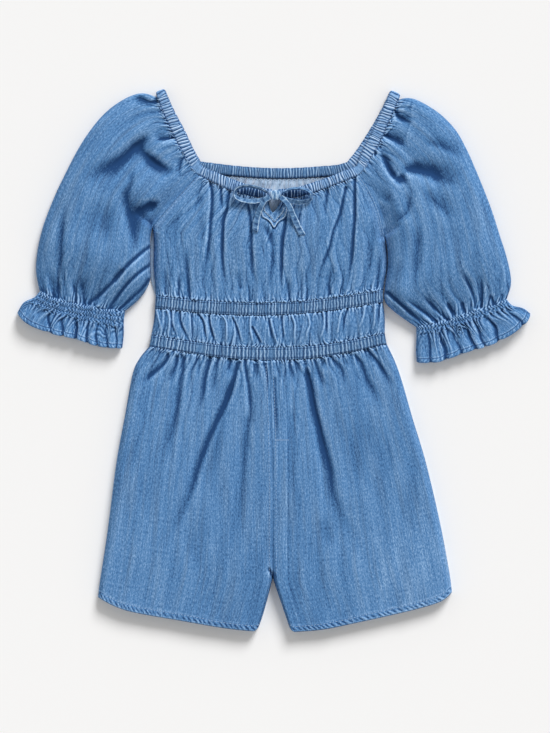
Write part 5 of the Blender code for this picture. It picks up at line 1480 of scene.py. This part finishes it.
def shoulder_band(name, front, back, seed):
    """Up the front half, over in a half turn, and down the back half, which lies underneath."""
    high, low = SHOULDER_H - CASING_THICK / 2, CASING_THICK / 2
    radius = (high - low) / 2
    front_count, back_count, turn_count = 180, 120, 22
    front_a, front_b = rails(front)(np.linspace(0, 1, front_count))
    back_a, back_b = rails(back)(np.linspace(0, 1, back_count))
    across = (front_b[-1] - front_a[-1]) / np.linalg.norm(front_b[-1] - front_a[-1])
    out = np.array([across[1], -across[0]])
    out *= np.sign(out @ (front_a[-1] - front_a[-9]))
    turn = np.linspace(0, np.pi, turn_count)[1:-1]
    reach = (radius * np.sin(turn))[:, None] * out
    mix = ((1 - np.cos(turn)) / 2)[:, None]
    a, b = (np.vstack([up_it, (1 - mix) * up_it[-1] + mix * down_it[-1] + reach, down_it[::-1]])
            for up_it, down_it in ((front_a, back_a), (front_b, back_b)))
    z = np.concatenate([np.full(front_count, high), (high + low) / 2 + radius * np.cos(turn),
                        np.full(back_count, low)])
    up = np.vstack([np.tile([0.0, 0.0, 1.0], (front_count, 1)),
                    np.column_stack([np.sin(turn)[:, None] * out, np.cos(turn)]),
                    np.tile([0.0, 0.0, -1.0], (back_count, 1))])
    return ribbed_band(name, a, b, z, up, seed, RIB_PITCH, plain_start=3.0)


# %% Neck and shoulders
low_middle = SHOULDER_H - CASING_THICK / 2
rise_from_corner = NECK_CASING_H - RIB_H - SHOULDER_H


def from_corner(share):
    """The front casing rises from the shoulder's level to its own over its first quarter."""
    return low_middle + rise_from_corner * eased(share * 4)


neck_right = neck_band("neck_casing_right", NECK_FRONT_R, from_corner, 31, plain_start=3.0)
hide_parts("neck_casing_front_right")
neck_left = neck_band("neck_casing_left", NECK_FRONT_L, lambda share: from_corner(1 - share), 32,
                      plain_end=3.5)
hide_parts("neck_casing_front_left")
neck_back = neck_band("neck_casing_behind", NECK_BACK, level(CASING_THICK / 2), 33, pitch=2.2,
                      rib_height=0.5, finish=casing_cloth)
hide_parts("neck_casing_back")
shoulder_right = shoulder_band("shoulder_band_right", SHOULDER_FRONT_R, SHOULDER_BACK_R, 34)
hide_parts("shoulder_casing_right")
shoulder_left = shoulder_band("shoulder_band_left", SHOULDER_FRONT_L, SHOULDER_BACK_L, 35)
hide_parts("shoulder_casing_left")

# %% [markdown]
# ## Waist
#
# Two casings hold 10 mm elastic all round, and between them a narrow strip of cloth puffs out in crinkles.
# A casing is a flattened ring, so it is the same tube as a sleeve, only 10 mm long. Its ribs are uneven,
# and it is plain where the elastic's join and the side seams stop the gathers.

# %% Waist casings
CASING_DEEP = 10.2
UPPER_PLAIN = [(-101, 2), (94, 2)]
LOWER_PLAIN = [(-105, 2), (-62, 3.2), (-2, 2.6), (53, 2.4), (96, 2)]


def casing_ring(name, head, foot, pitch, plain, seed):
    """A waist casing. plain gives the places along it, and their half widths, where it has no ribs."""
    plan = patch(curve(head), curve(foot), curve([head[0], foot[0]]), curve([head[-1], foot[-1]]))
    deep = CASING_DEEP

    def relief(xy, u, v, across, down):
        rng = np.random.default_rng(seed)
        s = u * WAIST_LENGTH
        knots = uneven_knots(0, WAIST_LENGTH, pitch, rng, 0.3)
        tall = rng.uniform(0.5, 1.2, len(knots))
        slant = np.interp(s, knots, rng.normal(0.01, 0.05, len(knots)))
        bow = 0.15 * np.sin(1.1 * down + s / 3.7)
        rib, tone = pleats(s + slant * (down - deep / 2) + bow, knots, tall, seed)
        wide_knots = uneven_knots(0, WAIST_LENGTH, pitch * 2.1, rng)
        second, second_tone = pleats(s + 0.25 * down, wide_knots, tall, seed + 3)
        rib, tone = 0.7 * rib + 0.15 * second, tone + 0.2 * second_tone
        for x, half_width in plain:
            there = 1 - 0.9 * bell(xy[..., 0], x, half_width)
            rib, tone = rib * there, tone * there
        inside = rounded(down / 1.6) * rounded((deep - down) / 1.6)
        stitched = pressed_seam(down, 1.3, 0.40, 0.38) + pressed_seam(down, deep - 1.3, 0.40, 0.38)
        # The tone also gets painted shade along the stitches' grooves.
        return RIB_H * (rib - 0.3) * (0.25 + 0.75 * inside) + stitched, tone + 2.2 * stitched

    def relief_under(xy, u, v):
        knots = uneven_knots(0, WAIST_LENGTH, pitch * 1.2, np.random.default_rng(seed + 1))
        return 0.8 - 0.8 * ridges(u * WAIST_LENGTH, knots, np.ones(len(knots)), 0.8)

    side = folded_side(level(0.5 * WAIST_H), level(6.0))
    return tube(name, plan, graded(WAIST_LENGTH, 0.32), graded(WAIST_LENGTH, 1.1),
                graded(deep, 0.7, 0.45, 2), level(WAIST_H - RIB_H), side, side, relief, relief_under,
                [casing_cloth, casing_cloth], wall=1.6)


upper_ring = casing_ring("waist_casing_above", UPPER_CASING_TOP, UPPER_CASING_FOOT, 2.5, UPPER_PLAIN, 51)
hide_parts("waist_casing_upper")
lower_ring = casing_ring("waist_casing_below", LOWER_CASING_TOP, LOWER_CASING_FOOT, 2.8, LOWER_PLAIN, 53)
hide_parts("waist_casing_lower")

# %% Midriff
MIDRIFF_CREASES = [
    ([(-100.5, 43), (-97, 32), (-95, 21.5)], 0.64, 0.64, -1.2, 0),
    ([(-91, 43), (-88.5, 35.5), (-89, 25), (-91, 18.5)], 0.64, 0.64, -1.4, 0),
    ([(-87, 42), (-86.5, 30), (-81.5, 17.5)], 1, 1, 1.2, 0.4),
    ([(-79.5, 41), (-78.5, 30), (-71.5, 15.5)], 1, 1.2, 1.3, 0.4),
    ([(-70.5, 40.5), (-69.5, 27.5), (-69, 14)], 0.9, 0.9, 1, -0.4),
    ([(-64.5, 39.5), (-60, 32.5), (-58, 21.5), (-56.5, 13)], 1, 1, 1.7, 0.6),
    ([(-55, 38), (-54, 29.5), (-51, 18.5), (-48.5, 11.5)], 1, 1, 1.7, 0.6),
    ([(-43, 37), (-40.5, 32), (-40, 23.5), (-40.5, 11.5)], 0.56, 0.56, -1.2, 0),
    ([(-35, 36), (-30.5, 25), (-28.5, 15.5), (-28.5, 10)], 1, 1, 1.3, 0.5),
    ([(-19.5, 37), (-20, 27.5), (-18.5, 19), (-16, 10.5)], 0.64, 0.64, -1.4, 0),
    ([(-18.5, 28.5), (-11.5, 15.5), (-7.5, 10)], 1, 1.1, 1.4, 0.5),
    ([(-2.5, 34.5), (-0.5, 25), (2.5, 15.5), (6, 10.5)], 0.64, 0.64, -1.4, 0),
    ([(-5, 35.5), (-3, 24), (-0.5, 12.5)], 1, 1, 1.2, -0.4),
    ([(7, 37), (7.5, 27), (9.5, 11.5)], 0.9, 0.9, 1, 0.4),
    ([(15, 38), (18, 30), (17.5, 21), (18.5, 13)], 0.64, 0.64, -1.4, 0),
    ([(29.5, 39.5), (30.5, 29.5), (28, 21), (29, 14)], 0.64, 0.64, -1.4, 0),
    ([(42, 43), (43, 32), (41.5, 23.5), (37.5, 15.5)], 0.64, 0.64, -1.4, 0),
    ([(44.5, 42), (45, 32), (45, 18.5)], 0.9, 0.9, 1.3, 0.4),
    ([(60.5, 45.5), (56.5, 37), (55, 27), (53, 18.5)], 0.64, 0.64, -1.4, 0),
    ([(64, 46.5), (60, 33.5), (59, 20)], 1, 1, 1.1, 0.4),
    ([(77.5, 48), (76.5, 38), (73.5, 28.5), (72, 21.5)], 0.64, 0.64, -1.2, 0),
    ([(86, 50.5), (86, 40.5), (85, 29.5), (82.5, 23.5)], 0.64, 0.64, -1.4, 0),
    ([(90, 50.5), (89.5, 40.5), (88.5, 25)], 0.9, 0.9, 1.1, 0.4),
]

midriff_plan = patch(curve(UPPER_CASING_FOOT), curve(LOWER_CASING_TOP), curve(MIDRIFF_SIDE_R),
                     curve(MIDRIFF_SIDE_L))


def midriff_relief(xy, u, v, across, down):
    """Puckers and gathers from both seams, the placed creases, and a puff between the casings."""
    s = u * WAIST_LENGTH
    up = down[-1:] - down
    z = 0.0
    for d, pitch, height, reach, seed, lean, power in (
        (down, 4.0, 1.1, 3.4, 61, 0.3, 0.8), (up, 4.0, 1.1, 3.4, 62, 0.3, 0.8),
        (down, 9.0, 0.9, 14, 63, 0.2, 0.6), (up, 9.5, 0.9, 14, 64, 0.2, 0.6),
    ):
        z = z + gathers(s, d, pitch, height, reach, seed, lean, power)
    z = z + 0.7 * curls(s, down, 66) + 0.7 * curls(s, up, 67)
    return z + creases(xy, MIDRIFF_CREASES) + 0.9 * arched(np.clip(v, 0, 1), 0.7) - 0.3, 0.0


def back_relief(seed, gathered_length, rows):
    """The relief of a hidden back panel: gathers from its waist seam, and the front's creases, flipped."""

    def relief(xy, u, v, across, down):
        s = u * gathered_length
        z = gathers(s, down, 5.5, 1.2, 12, seed) + gathers(s, down, 13, 1.2, 45, seed + 1)
        return 0.25 + z - 0.5 * creases(flipped(xy), rows) + uneven(xy, 26, 0.3, seed + 2)

    return relief


midriff = front_panel("midriff_front", midriff_plan, graded(WAIST_LENGTH, 0.45),
                      graded(MIDRIFF_LONG, 0.62, 0.5, 3),
                      swell((0, MIDRIFF_H), (0.5, MIDRIFF_H + 0.4), (1, MIDRIFF_H)), midriff_relief,
                      seated_edge, seated_edge, (True, True), blur=(2, 3))
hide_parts("front_midriff")
midriff_back = back_panel("midriff_back", midriff_plan, graded(WAIST_LENGTH, 1.6), graded(MIDRIFF_LONG, 1.6),
                          back_relief(65, WAIST_LENGTH, MIDRIFF_CREASES))
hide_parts("back_midriff")

# %% [markdown]
# ## Shorts
#
# Two front panels meet at the centre seam, which stands at the cloth's height and drops to the seat at the
# crotch. Below that each leg has its inside seam. The soft long folds spring from the waist casing, and the
# hem is turned up 5 mm and stitched.

# %% Shorts
SHORTS_R_CREASES = [
    ([(-89, 6.5), (-91.5, -1.5), (-99.5, -9.5), (-109.5, -18), (-114.5, -27.5)], 1.3, 3.2, 1.8, 0.3),
    ([(-81.5, 4), (-82.5, -3), (-86.5, -13), (-90, -22.5)], 1.1, 3, 1.4, 0.3),
    ([(-76.5, 5.5), (-77, -8), (-80, -29), (-83.5, -52), (-91.5, -75), (-98, -101)], 1.8, 6.2, 1.6, 0.18),
    ([(-53.5, 6.5), (-54, 0.5), (-58, -16), (-60.5, -32.5), (-63, -46.5)], 1.3, 3, 1.8, 0.3),
    ([(-46.5, 5.5), (-47.5, -1.5), (-51, -21.5), (-55.5, -32.5)], 1.1, 3.8, 1.1, 0.24),
    ([(-30, 4), (-31, -4.5), (-34.5, -21), (-41, -37.5), (-50.5, -57), (-60.5, -81.5), (-70, -111),
      (-77, -128.5), (-86.5, -148), (-95, -167)], 1.5, 4.8, 2, 0.21),
    ([(-23.5, 4.5), (-24.5, -4.5), (-21, -26), (-19.5, -45.5), (-17, -66.5)], 1.4, 3.2, 1.7, -0.3),
    ([(-9, 4), (-8, -4.5), (-4, -19.5), (-1.5, -40.5)], 1.1, 2.8, 1.3, -0.3),
    ([(-80, -110), (-73, -140), (-66, -168), (-61, -192)], 5.5, 6.2, 0.7, 0),
    ([(-21, -40), (-24, -80), (-28, -120), (-36, -165)], 3, 7, 1.5, 0.1),
    ([(-34, -12), (-41, -40), (-48, -70), (-55, -100), (-62, -130)], 3.4, 10, 2, 0.1),
    ([(-118, -60), (-121.5, -94), (-124, -136.5)], 7.5, 7.5, 0.6, 0),
    ([(-62.5, 5.5), (-63.5, -4), (-66, -14)], 1, 2.5, 0.9, 0.24),
    ([(-38, 5.5), (-37.5, -4), (-40, -17.5)], 1, 3, 1.2, -0.24),
    ([(-15.5, 5.5), (-14.5, -5.5), (-13.5, -21)], 1, 2.8, 1.1, 0.24),
    ([(1.5, -187), (-1.5, -182.5), (-4, -178.5), (-6, -175)], 1.3, 1, 2, 0.2),
]
SHORTS_L_CREASES = [
    ([(13, 5.5), (14, -3), (17, -14.5), (20, -24)], 1.1, 3, 1.4, 0.3),
    ([(25, 8), (26, 1), (29.5, -16), (33.5, -37.5), (37.5, -53.5), (43, -75), (48, -94.5), (50.5, -112.5),
      (58, -132), (66, -145), (74.5, -159.5), (81, -174)], 1.4, 6.5, 2, 0.2),
    ([(34, 6.5), (35, -1.5), (40, -16), (44, -27.5)], 1.1, 3.5, 1.4, 0.3),
    ([(47, 8), (49, 2), (58, -9.5), (60.5, -24)], 1.1, 3.5, 1.4, 0.24),
    ([(65.5, 10), (67.5, 5), (74.5, -3), (79, -16), (85.5, -29), (91, -48)], 1.3, 5, 1.7, 0.3),
    ([(78.5, 14), (79.5, 9), (89, -3), (99, -19.5), (103, -27)], 1.3, 3.2, 2, 0.3),
    ([(28, -6), (33, -30), (37, -52), (42, -74), (48, -100), (54, -124)], 2.2, 6, 2.4, 0.1),
    ([(1, -14), (1.5, -34), (2.5, -56), (3, -78)], 1.4, 2, 0.8, 0.1),
    ([(69.5, -32.5), (81, -65), (94, -88), (100.5, -106.5)], 6.2, 8.1, 1, 0),
    ([(54.5, -32.5), (63, -62), (74, -94.5), (82.5, -123.5)], 5.6, 6.9, 1.1, 0),
    ([(16, -38.5), (17, -75), (17, -107.5), (19, -140.5)], 2.8, 3.8, 0.8, 0.18),
    ([(40.5, -130), (45, -146), (52, -163)], 5, 6, 0.8, 0.1),
    ([(19, 6.5), (19.5, -2), (23, -15.5)], 1, 2.8, 1, 0.24),
    ([(41, 8), (42.5, -0.5), (47, -10.5)], 1, 2.8, 1.1, 0.24),
    ([(57, 9), (59.5, 2), (66.5, -9)], 1, 3, 1, 0.24),
    ([(5.5, 5.5), (6, -5.5), (8.5, -21)], 1, 2.8, 0.9, -0.24),
    ([(107.5, -94), (115, -123.5), (121, -157.5)], 7.5, 7.5, 0.7, 0),
]
HEM_DEEP = 5.0
SHORTS_LONG, LEG_WIDE = 232, 136
BAR_TACK_ROWS = (-67.9, -68.9)
waist = curve(LOWER_CASING_FOOT)
waist_shares = np.linspace(0, 1, 400)
waist_split = float(np.interp(CENTRE_SEAM[0][0], waist(waist_shares)[:, 0], waist_shares))
centre = [tuple(waist(waist_split)), *CENTRE_SEAM[1:]]
shorts_right_plan = patch(lambda t: waist(np.asarray(t) * waist_split), curve(HEM_R), curve(SHORTS_SIDE_R),
                          curve(centre, INSEAM_R))
shorts_left_plan = patch(lambda t: waist(waist_split + np.asarray(t) * (1 - waist_split)), curve(HEM_L),
                         curve(centre, INSEAM_L), curve(SHORTS_SIDE_L))


shorts_height = swell((0, WAIST_EDGE_H), (0.4, SHORTS_H), (0.75, SHORTS_H), (1, HEM_H))


def centre_edge(inseam):
    """The centre seam stands at the panel's height, then drops to the seat at the crotch."""
    rise, whole = curve(centre).length, curve(centre, inseam).length

    def edge(v):
        low = eased(1 - (rise - v * whole) / 8)
        top = shorts_height(v) - 0.5
        return top - (top - SEAT) * low, 3.0 + 2.5 * low, low

    return edge


def shorts_relief(rows, seed, centre_at_end):
    """Gathers from the casing, the placed creases, the centre seam and the hem, and a tone with painted shade
    and painted light. The left side is more in the light, and the seam's allowance lies under it."""
    lit_side = 0.4 if centre_at_end else 1.0

    def relief(xy, u, v, across, down):
        s = u * WAIST_LENGTH / 2
        to_hem = down[-1:] - down
        from_centre = across[:, -1:] - across if centre_at_end else across
        z = gathers(s, down, 4.0, 1.2, 5, seed, lean=0.2, power=0.7)
        z = z + gathers(s, down, 8.0, 1.5, 16, seed + 1, power=0.6)
        z = z + gathers(s, down, 15, 0.9, 50, seed + 2, lean=0.05, power=0.8)
        z = z + curls(s, down, seed + 6)
        folds = creases(xy, rows)
        z = z + folds + uneven(xy * np.array([1, 0.35]), 22, 0.25, seed + 3)
        allowance = 0.3 * eased((13.5 - from_centre) / 1.2) if not centre_at_end else 0.0
        z = z + allowance + pressed_seam(from_centre, 3.0, 0.18, 0.5)
        z = z + hem_fold(across, to_hem, HEM_DEEP, seed + 5, rope=0.8)
        # Painted shade below the waist casing, in the folds and low near the centre seam; a darker hem;
        # painted light low on the outer side, stronger on the left leg.
        lower = eased(2.5 * v - 1.2)
        shade = hollow_shade(folds) - 0.2 * np.exp(-down / 30) - 0.35 * eased(HEM_DEEP - to_hem)
        shade = shade + 0.7 * hem_line(to_hem, HEM_DEEP) - 0.32 * lower * np.exp(-from_centre / 26)
        return z, shade + 0.25 * lower * lit_side * eased((from_centre - 40) / 50)

    return relief


def shorts_front(name, plan, rows, seed, start_edge, end_edge, centre_at_end):
    return front_panel(name, plan, graded(LEG_WIDE, 0.92, 0.6, 8), graded(SHORTS_LONG, 1.0, 0.6, 12),
                       shorts_height, shorts_relief(rows, seed, centre_at_end), start_edge, end_edge,
                       (True, False))


def shorts_back(name, plan, rows, seed):
    return back_panel(name, plan, graded(LEG_WIDE, 2.0), graded(SHORTS_LONG, 2.2),
                      back_relief(seed, WAIST_LENGTH / 2, rows))


shorts_right = shorts_front("shorts_front_right", shorts_right_plan, SHORTS_R_CREASES, 71, seated_edge,
                            centre_edge(INSEAM_R), True)
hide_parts("front_shorts_right")
shorts_left = shorts_front("shorts_front_left", shorts_left_plan, SHORTS_L_CREASES, 81, centre_edge(INSEAM_L),
                           seated_edge, False)
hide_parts("front_shorts_left")
shorts_back_right = shorts_back("shorts_back_right", shorts_right_plan, SHORTS_L_CREASES, 91)
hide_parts("back_shorts_right")
shorts_back_left = shorts_back("shorts_back_left", shorts_left_plan, SHORTS_R_CREASES, 95)
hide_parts("back_shorts_left")

# %% [markdown]
# ## The cut of each piece
#
# Gathered cloth was cut larger than it lies. The table below gives each sheet the width and length that it
# was cut to; the loop after it only reads each piece's face areas.

# %% Sheets
# Each sheet: its flat width and length in millimetres, what it rests on, and the share of that rectangle that
# the cut piece fills.
SHEETS = [
    (bodice, 290, 112, bodice_back, 0.82),
    (bodice_back, 250, 112, "table", 0.82),
    (sleeve_right, 300, 215, bodice_back, 0.78),
    (sleeve_left, 300, 215, bodice_back, 0.78),
    (midriff, 270, 30, midriff_back, 1.0),
    (midriff_back, 230, 30, "table", 1.0),
    (shorts_right, 165, SHORTS_LONG, shorts_back_right, 0.92),
    (shorts_left, 165, SHORTS_LONG, shorts_back_left, 0.92),
    (shorts_back_right, 160, SHORTS_LONG, "table", 0.92),
    (shorts_back_left, 160, SHORTS_LONG, "table", 0.92),
    (upper_ring, 560, CASING_DEEP, "table", 1.0),
    (lower_ring, 560, CASING_DEEP, "table", 1.0),
    (neck_right, 95, 11, bodice, 1.0),
    (neck_left, 100, 11, bodice, 1.0),
    (neck_back, 175, 11, "table", 1.0),
    (shoulder_right, 200, 11, "table", 1.0),
    (shoulder_left, 200, 11, "table", 1.0),
]

for piece, width, length, under, share in SHEETS:
    areas = np.empty(len(piece.data.polygons))
    piece.data.polygons.foreach_get("area", areas)

# %% [markdown]
# ## Stitching
#
# Hems, facings and seams are held by rows of lockstitches that are about 2 mm long. Each stitch is one
# small bead of thread of six sides, laid on the cloth where a ray from above meets it, so the rows follow
# the gathers. A line drawn in the material would be flat and would not catch the light.

# %% Stitch rows
pale_thread, white_thread, blue_thread, hem_thread = (
    plain_material(f"{name}_thread", (*colour, 1.0), 0.7)
    for name, colour in (("pale", (0.340, 0.520, 0.760)), ("white", (0.600, 0.780, 0.960)),
                         ("blue", (0.030, 0.080, 0.200)), ("hem", (0.052, 0.125, 0.275))))


def bead():
    """One stitch that is 1 long and 1 thick, along +X: three rings of six points between two tips."""
    turns = circle(6)
    rings = [np.column_stack([np.full(6, x), 0.5 * r * np.cos(turns), 0.5 * r * np.sin(turns)])
             for x, r in ((-0.4, 0.75), (0.0, 1.0), (0.4, 0.75))]
    points = np.vstack([*rings, [[-0.5, 0, 0], [0.5, 0, 0]]])
    ids = np.arange(18).reshape(3, 6)
    sides = grid_quads(np.concatenate([ids, ids[:, :1]], axis=1))
    following = np.roll(np.arange(6), -1)
    near = np.column_stack([np.full(6, 18), ids[0], ids[0, following]])
    far = np.column_stack([np.full(6, 19), ids[2, following], ids[2]])
    return points, sides, np.vstack([near, far])


BEAD = bead()
ABOVE_ALL = 0.06  # metres


def on_cloth(piece, spot):
    """The highest point of the piece over a spot in its plan, or None beside it."""
    hit, place, _, _ = piece.ray_cast((spot[0] * MM, spot[1] * MM, ABOVE_ALL), (0.0, 0.0, -1.0))
    return np.array(place) / MM if hit else None


def row_of_stitches(piece, path, pitch=2.6, length=2.1, zigzag=0.0):
    """The two ends of each stitch along a path, laid on the piece. A zigzag leans them to and fro."""
    line = curve(path)
    count = max(1, int(line.length / pitch))
    found = []
    for k in range(count):
        middle = (k + 0.5) / count
        a, b = line(middle - length / 2 / line.length), line(middle + length / 2 / line.length)
        if zigzag:
            across = np.array([b[1] - a[1], a[0] - b[0]]) / length * zigzag * (-1) ** k
            a, b = a + across, b - across
        ends = on_cloth(piece, a), on_cloth(piece, b)
        if ends[0] is not None and ends[1] is not None and abs(ends[0][2] - ends[1][2]) < 0.7 * length:
            found.append(ends)
    return found


def sewn_rows(name, stitches, thread, thick=0.5):
    """One thread's stitches on a piece as one mesh: the bead, turned and stretched between each two ends."""
    points, sides, tips = BEAD
    ends = np.array(stitches)
    start, step = ends[:, 0], ends[:, 1] - ends[:, 0]
    length = np.linalg.norm(step, axis=1, keepdims=True)
    forward = step / length
    beside = unit(np.cross(forward, [0.0, 0.0, 1.0]))
    above = np.cross(beside, forward)
    middle = start + step / 2 + above * thick * 0.2
    laid = (middle[:, None] + forward[:, None] * (points[None, :, :1] * length[:, None])
            + thick * (beside[:, None] * points[None, :, 1:2] + 0.8 * above[:, None] * points[None, :, 2:3]))
    shift = (np.arange(len(ends)) * len(points))[:, None, None]
    faces = [(sides[None] + shift).reshape(-1, 4), (tips[None] + shift).reshape(-1, 3)]
    flat = laid.reshape(-1, 3)
    return mesh_piece(name, flat, faces, (0, 0), [thread], flat[:, :2], np.zeros(len(flat)))


def rows_on(piece, paths, *spacing):
    """The stitches of several rows on one piece."""
    return [stitch for path in paths for stitch in row_of_stitches(piece, path, *spacing)]


def row_near_end(plan, inset, last=1.0):
    """The row that is `inset` millimetres from a patch's far edge, a little short of both its sides."""
    u, v = np.linspace(0.015, 0.985, 50), np.linspace(last - 0.25, last, 121)
    points = plan(u[None], v[:, None])
    down = running(points, 0)
    left = down[-1:] - down
    return points[np.argmin(np.abs(left - inset), axis=0), np.arange(len(u))]


def beside_path(path, inset):
    """A path moved sideways, to the left of its own direction."""
    line = curve(path)
    shares = np.linspace(0.02, 0.98, 30)
    points = line(shares)
    slope = unit(np.gradient(points, axis=0))
    return points + inset * np.column_stack([-slope[:, 1], slope[:, 0]])


# %% Lay the rows
bpy.context.view_layer.update()
for side, front, back, plan in (("right", shorts_right, shorts_back_right, shorts_right_plan),
                                ("left", shorts_left, shorts_back_left, shorts_left_plan)):
    hem = row_near_end(plan, HEM_DEEP)
    sewn_rows(f"hem_stitches_{side}", row_of_stitches(front, hem) + row_of_stitches(back, hem), pale_thread)
for side, piece, plan in (("right", sleeve_right, sleeve_right_plan),
                          ("left", sleeve_left, sleeve_left_plan)):
    hem = row_near_end(plan, RUFFLE_HEM_DEEP, 2.0)
    sewn_rows(f"ruffle_stitches_{side}", row_of_stitches(piece, hem, 2.2, 1.7), hem_thread, 0.6)
raglan_rows = [beside_path(seam, side * inset)
               for seam, side in ((RAGLAN_R, 1), (RAGLAN_L, -1)) for inset in (1.1, 3.0)]
sewn_rows("raglan_stitches", rows_on(bodice, raglan_rows, 2.4, 2.0), pale_thread, 0.36)
sewn_rows("keyhole_stitches", rows_on(bodice, [KEYHOLE_STITCHES, KEYHOLE_INNER_STITCHES], 1.95, 1.9),
          white_thread, 0.65)
seam_rows = row_of_stitches(shorts_right, beside_path(centre, -2.9))
seam_rows += row_of_stitches(shorts_left, beside_path(centre, 2.9))
seam_rows += rows_on(shorts_left, [[(x, y) for x in (0.8, 6.5, 12.8)] for y in BAR_TACK_ROWS], 1.3, 1.2)
sewn_rows("centre_seam_stitches", seam_rows, pale_thread, 0.42)
casing_rows = []
for ring, top, foot in ((upper_ring, UPPER_CASING_TOP, UPPER_CASING_FOOT),
                        (lower_ring, LOWER_CASING_TOP, LOWER_CASING_FOOT)):
    casing_rows += rows_on(ring, [beside_path(top, -1.3), beside_path(foot, 1.3)])
sewn_rows("casing_stitches", casing_rows, blue_thread, 0.42)
overlock = beside_path(NECK_BACK_SEAM, -1.7)
sewn_rows("overlock_stitches", row_of_stitches(bodice_back, overlock, 2.0, 2.0, zigzag=1.0), white_thread)
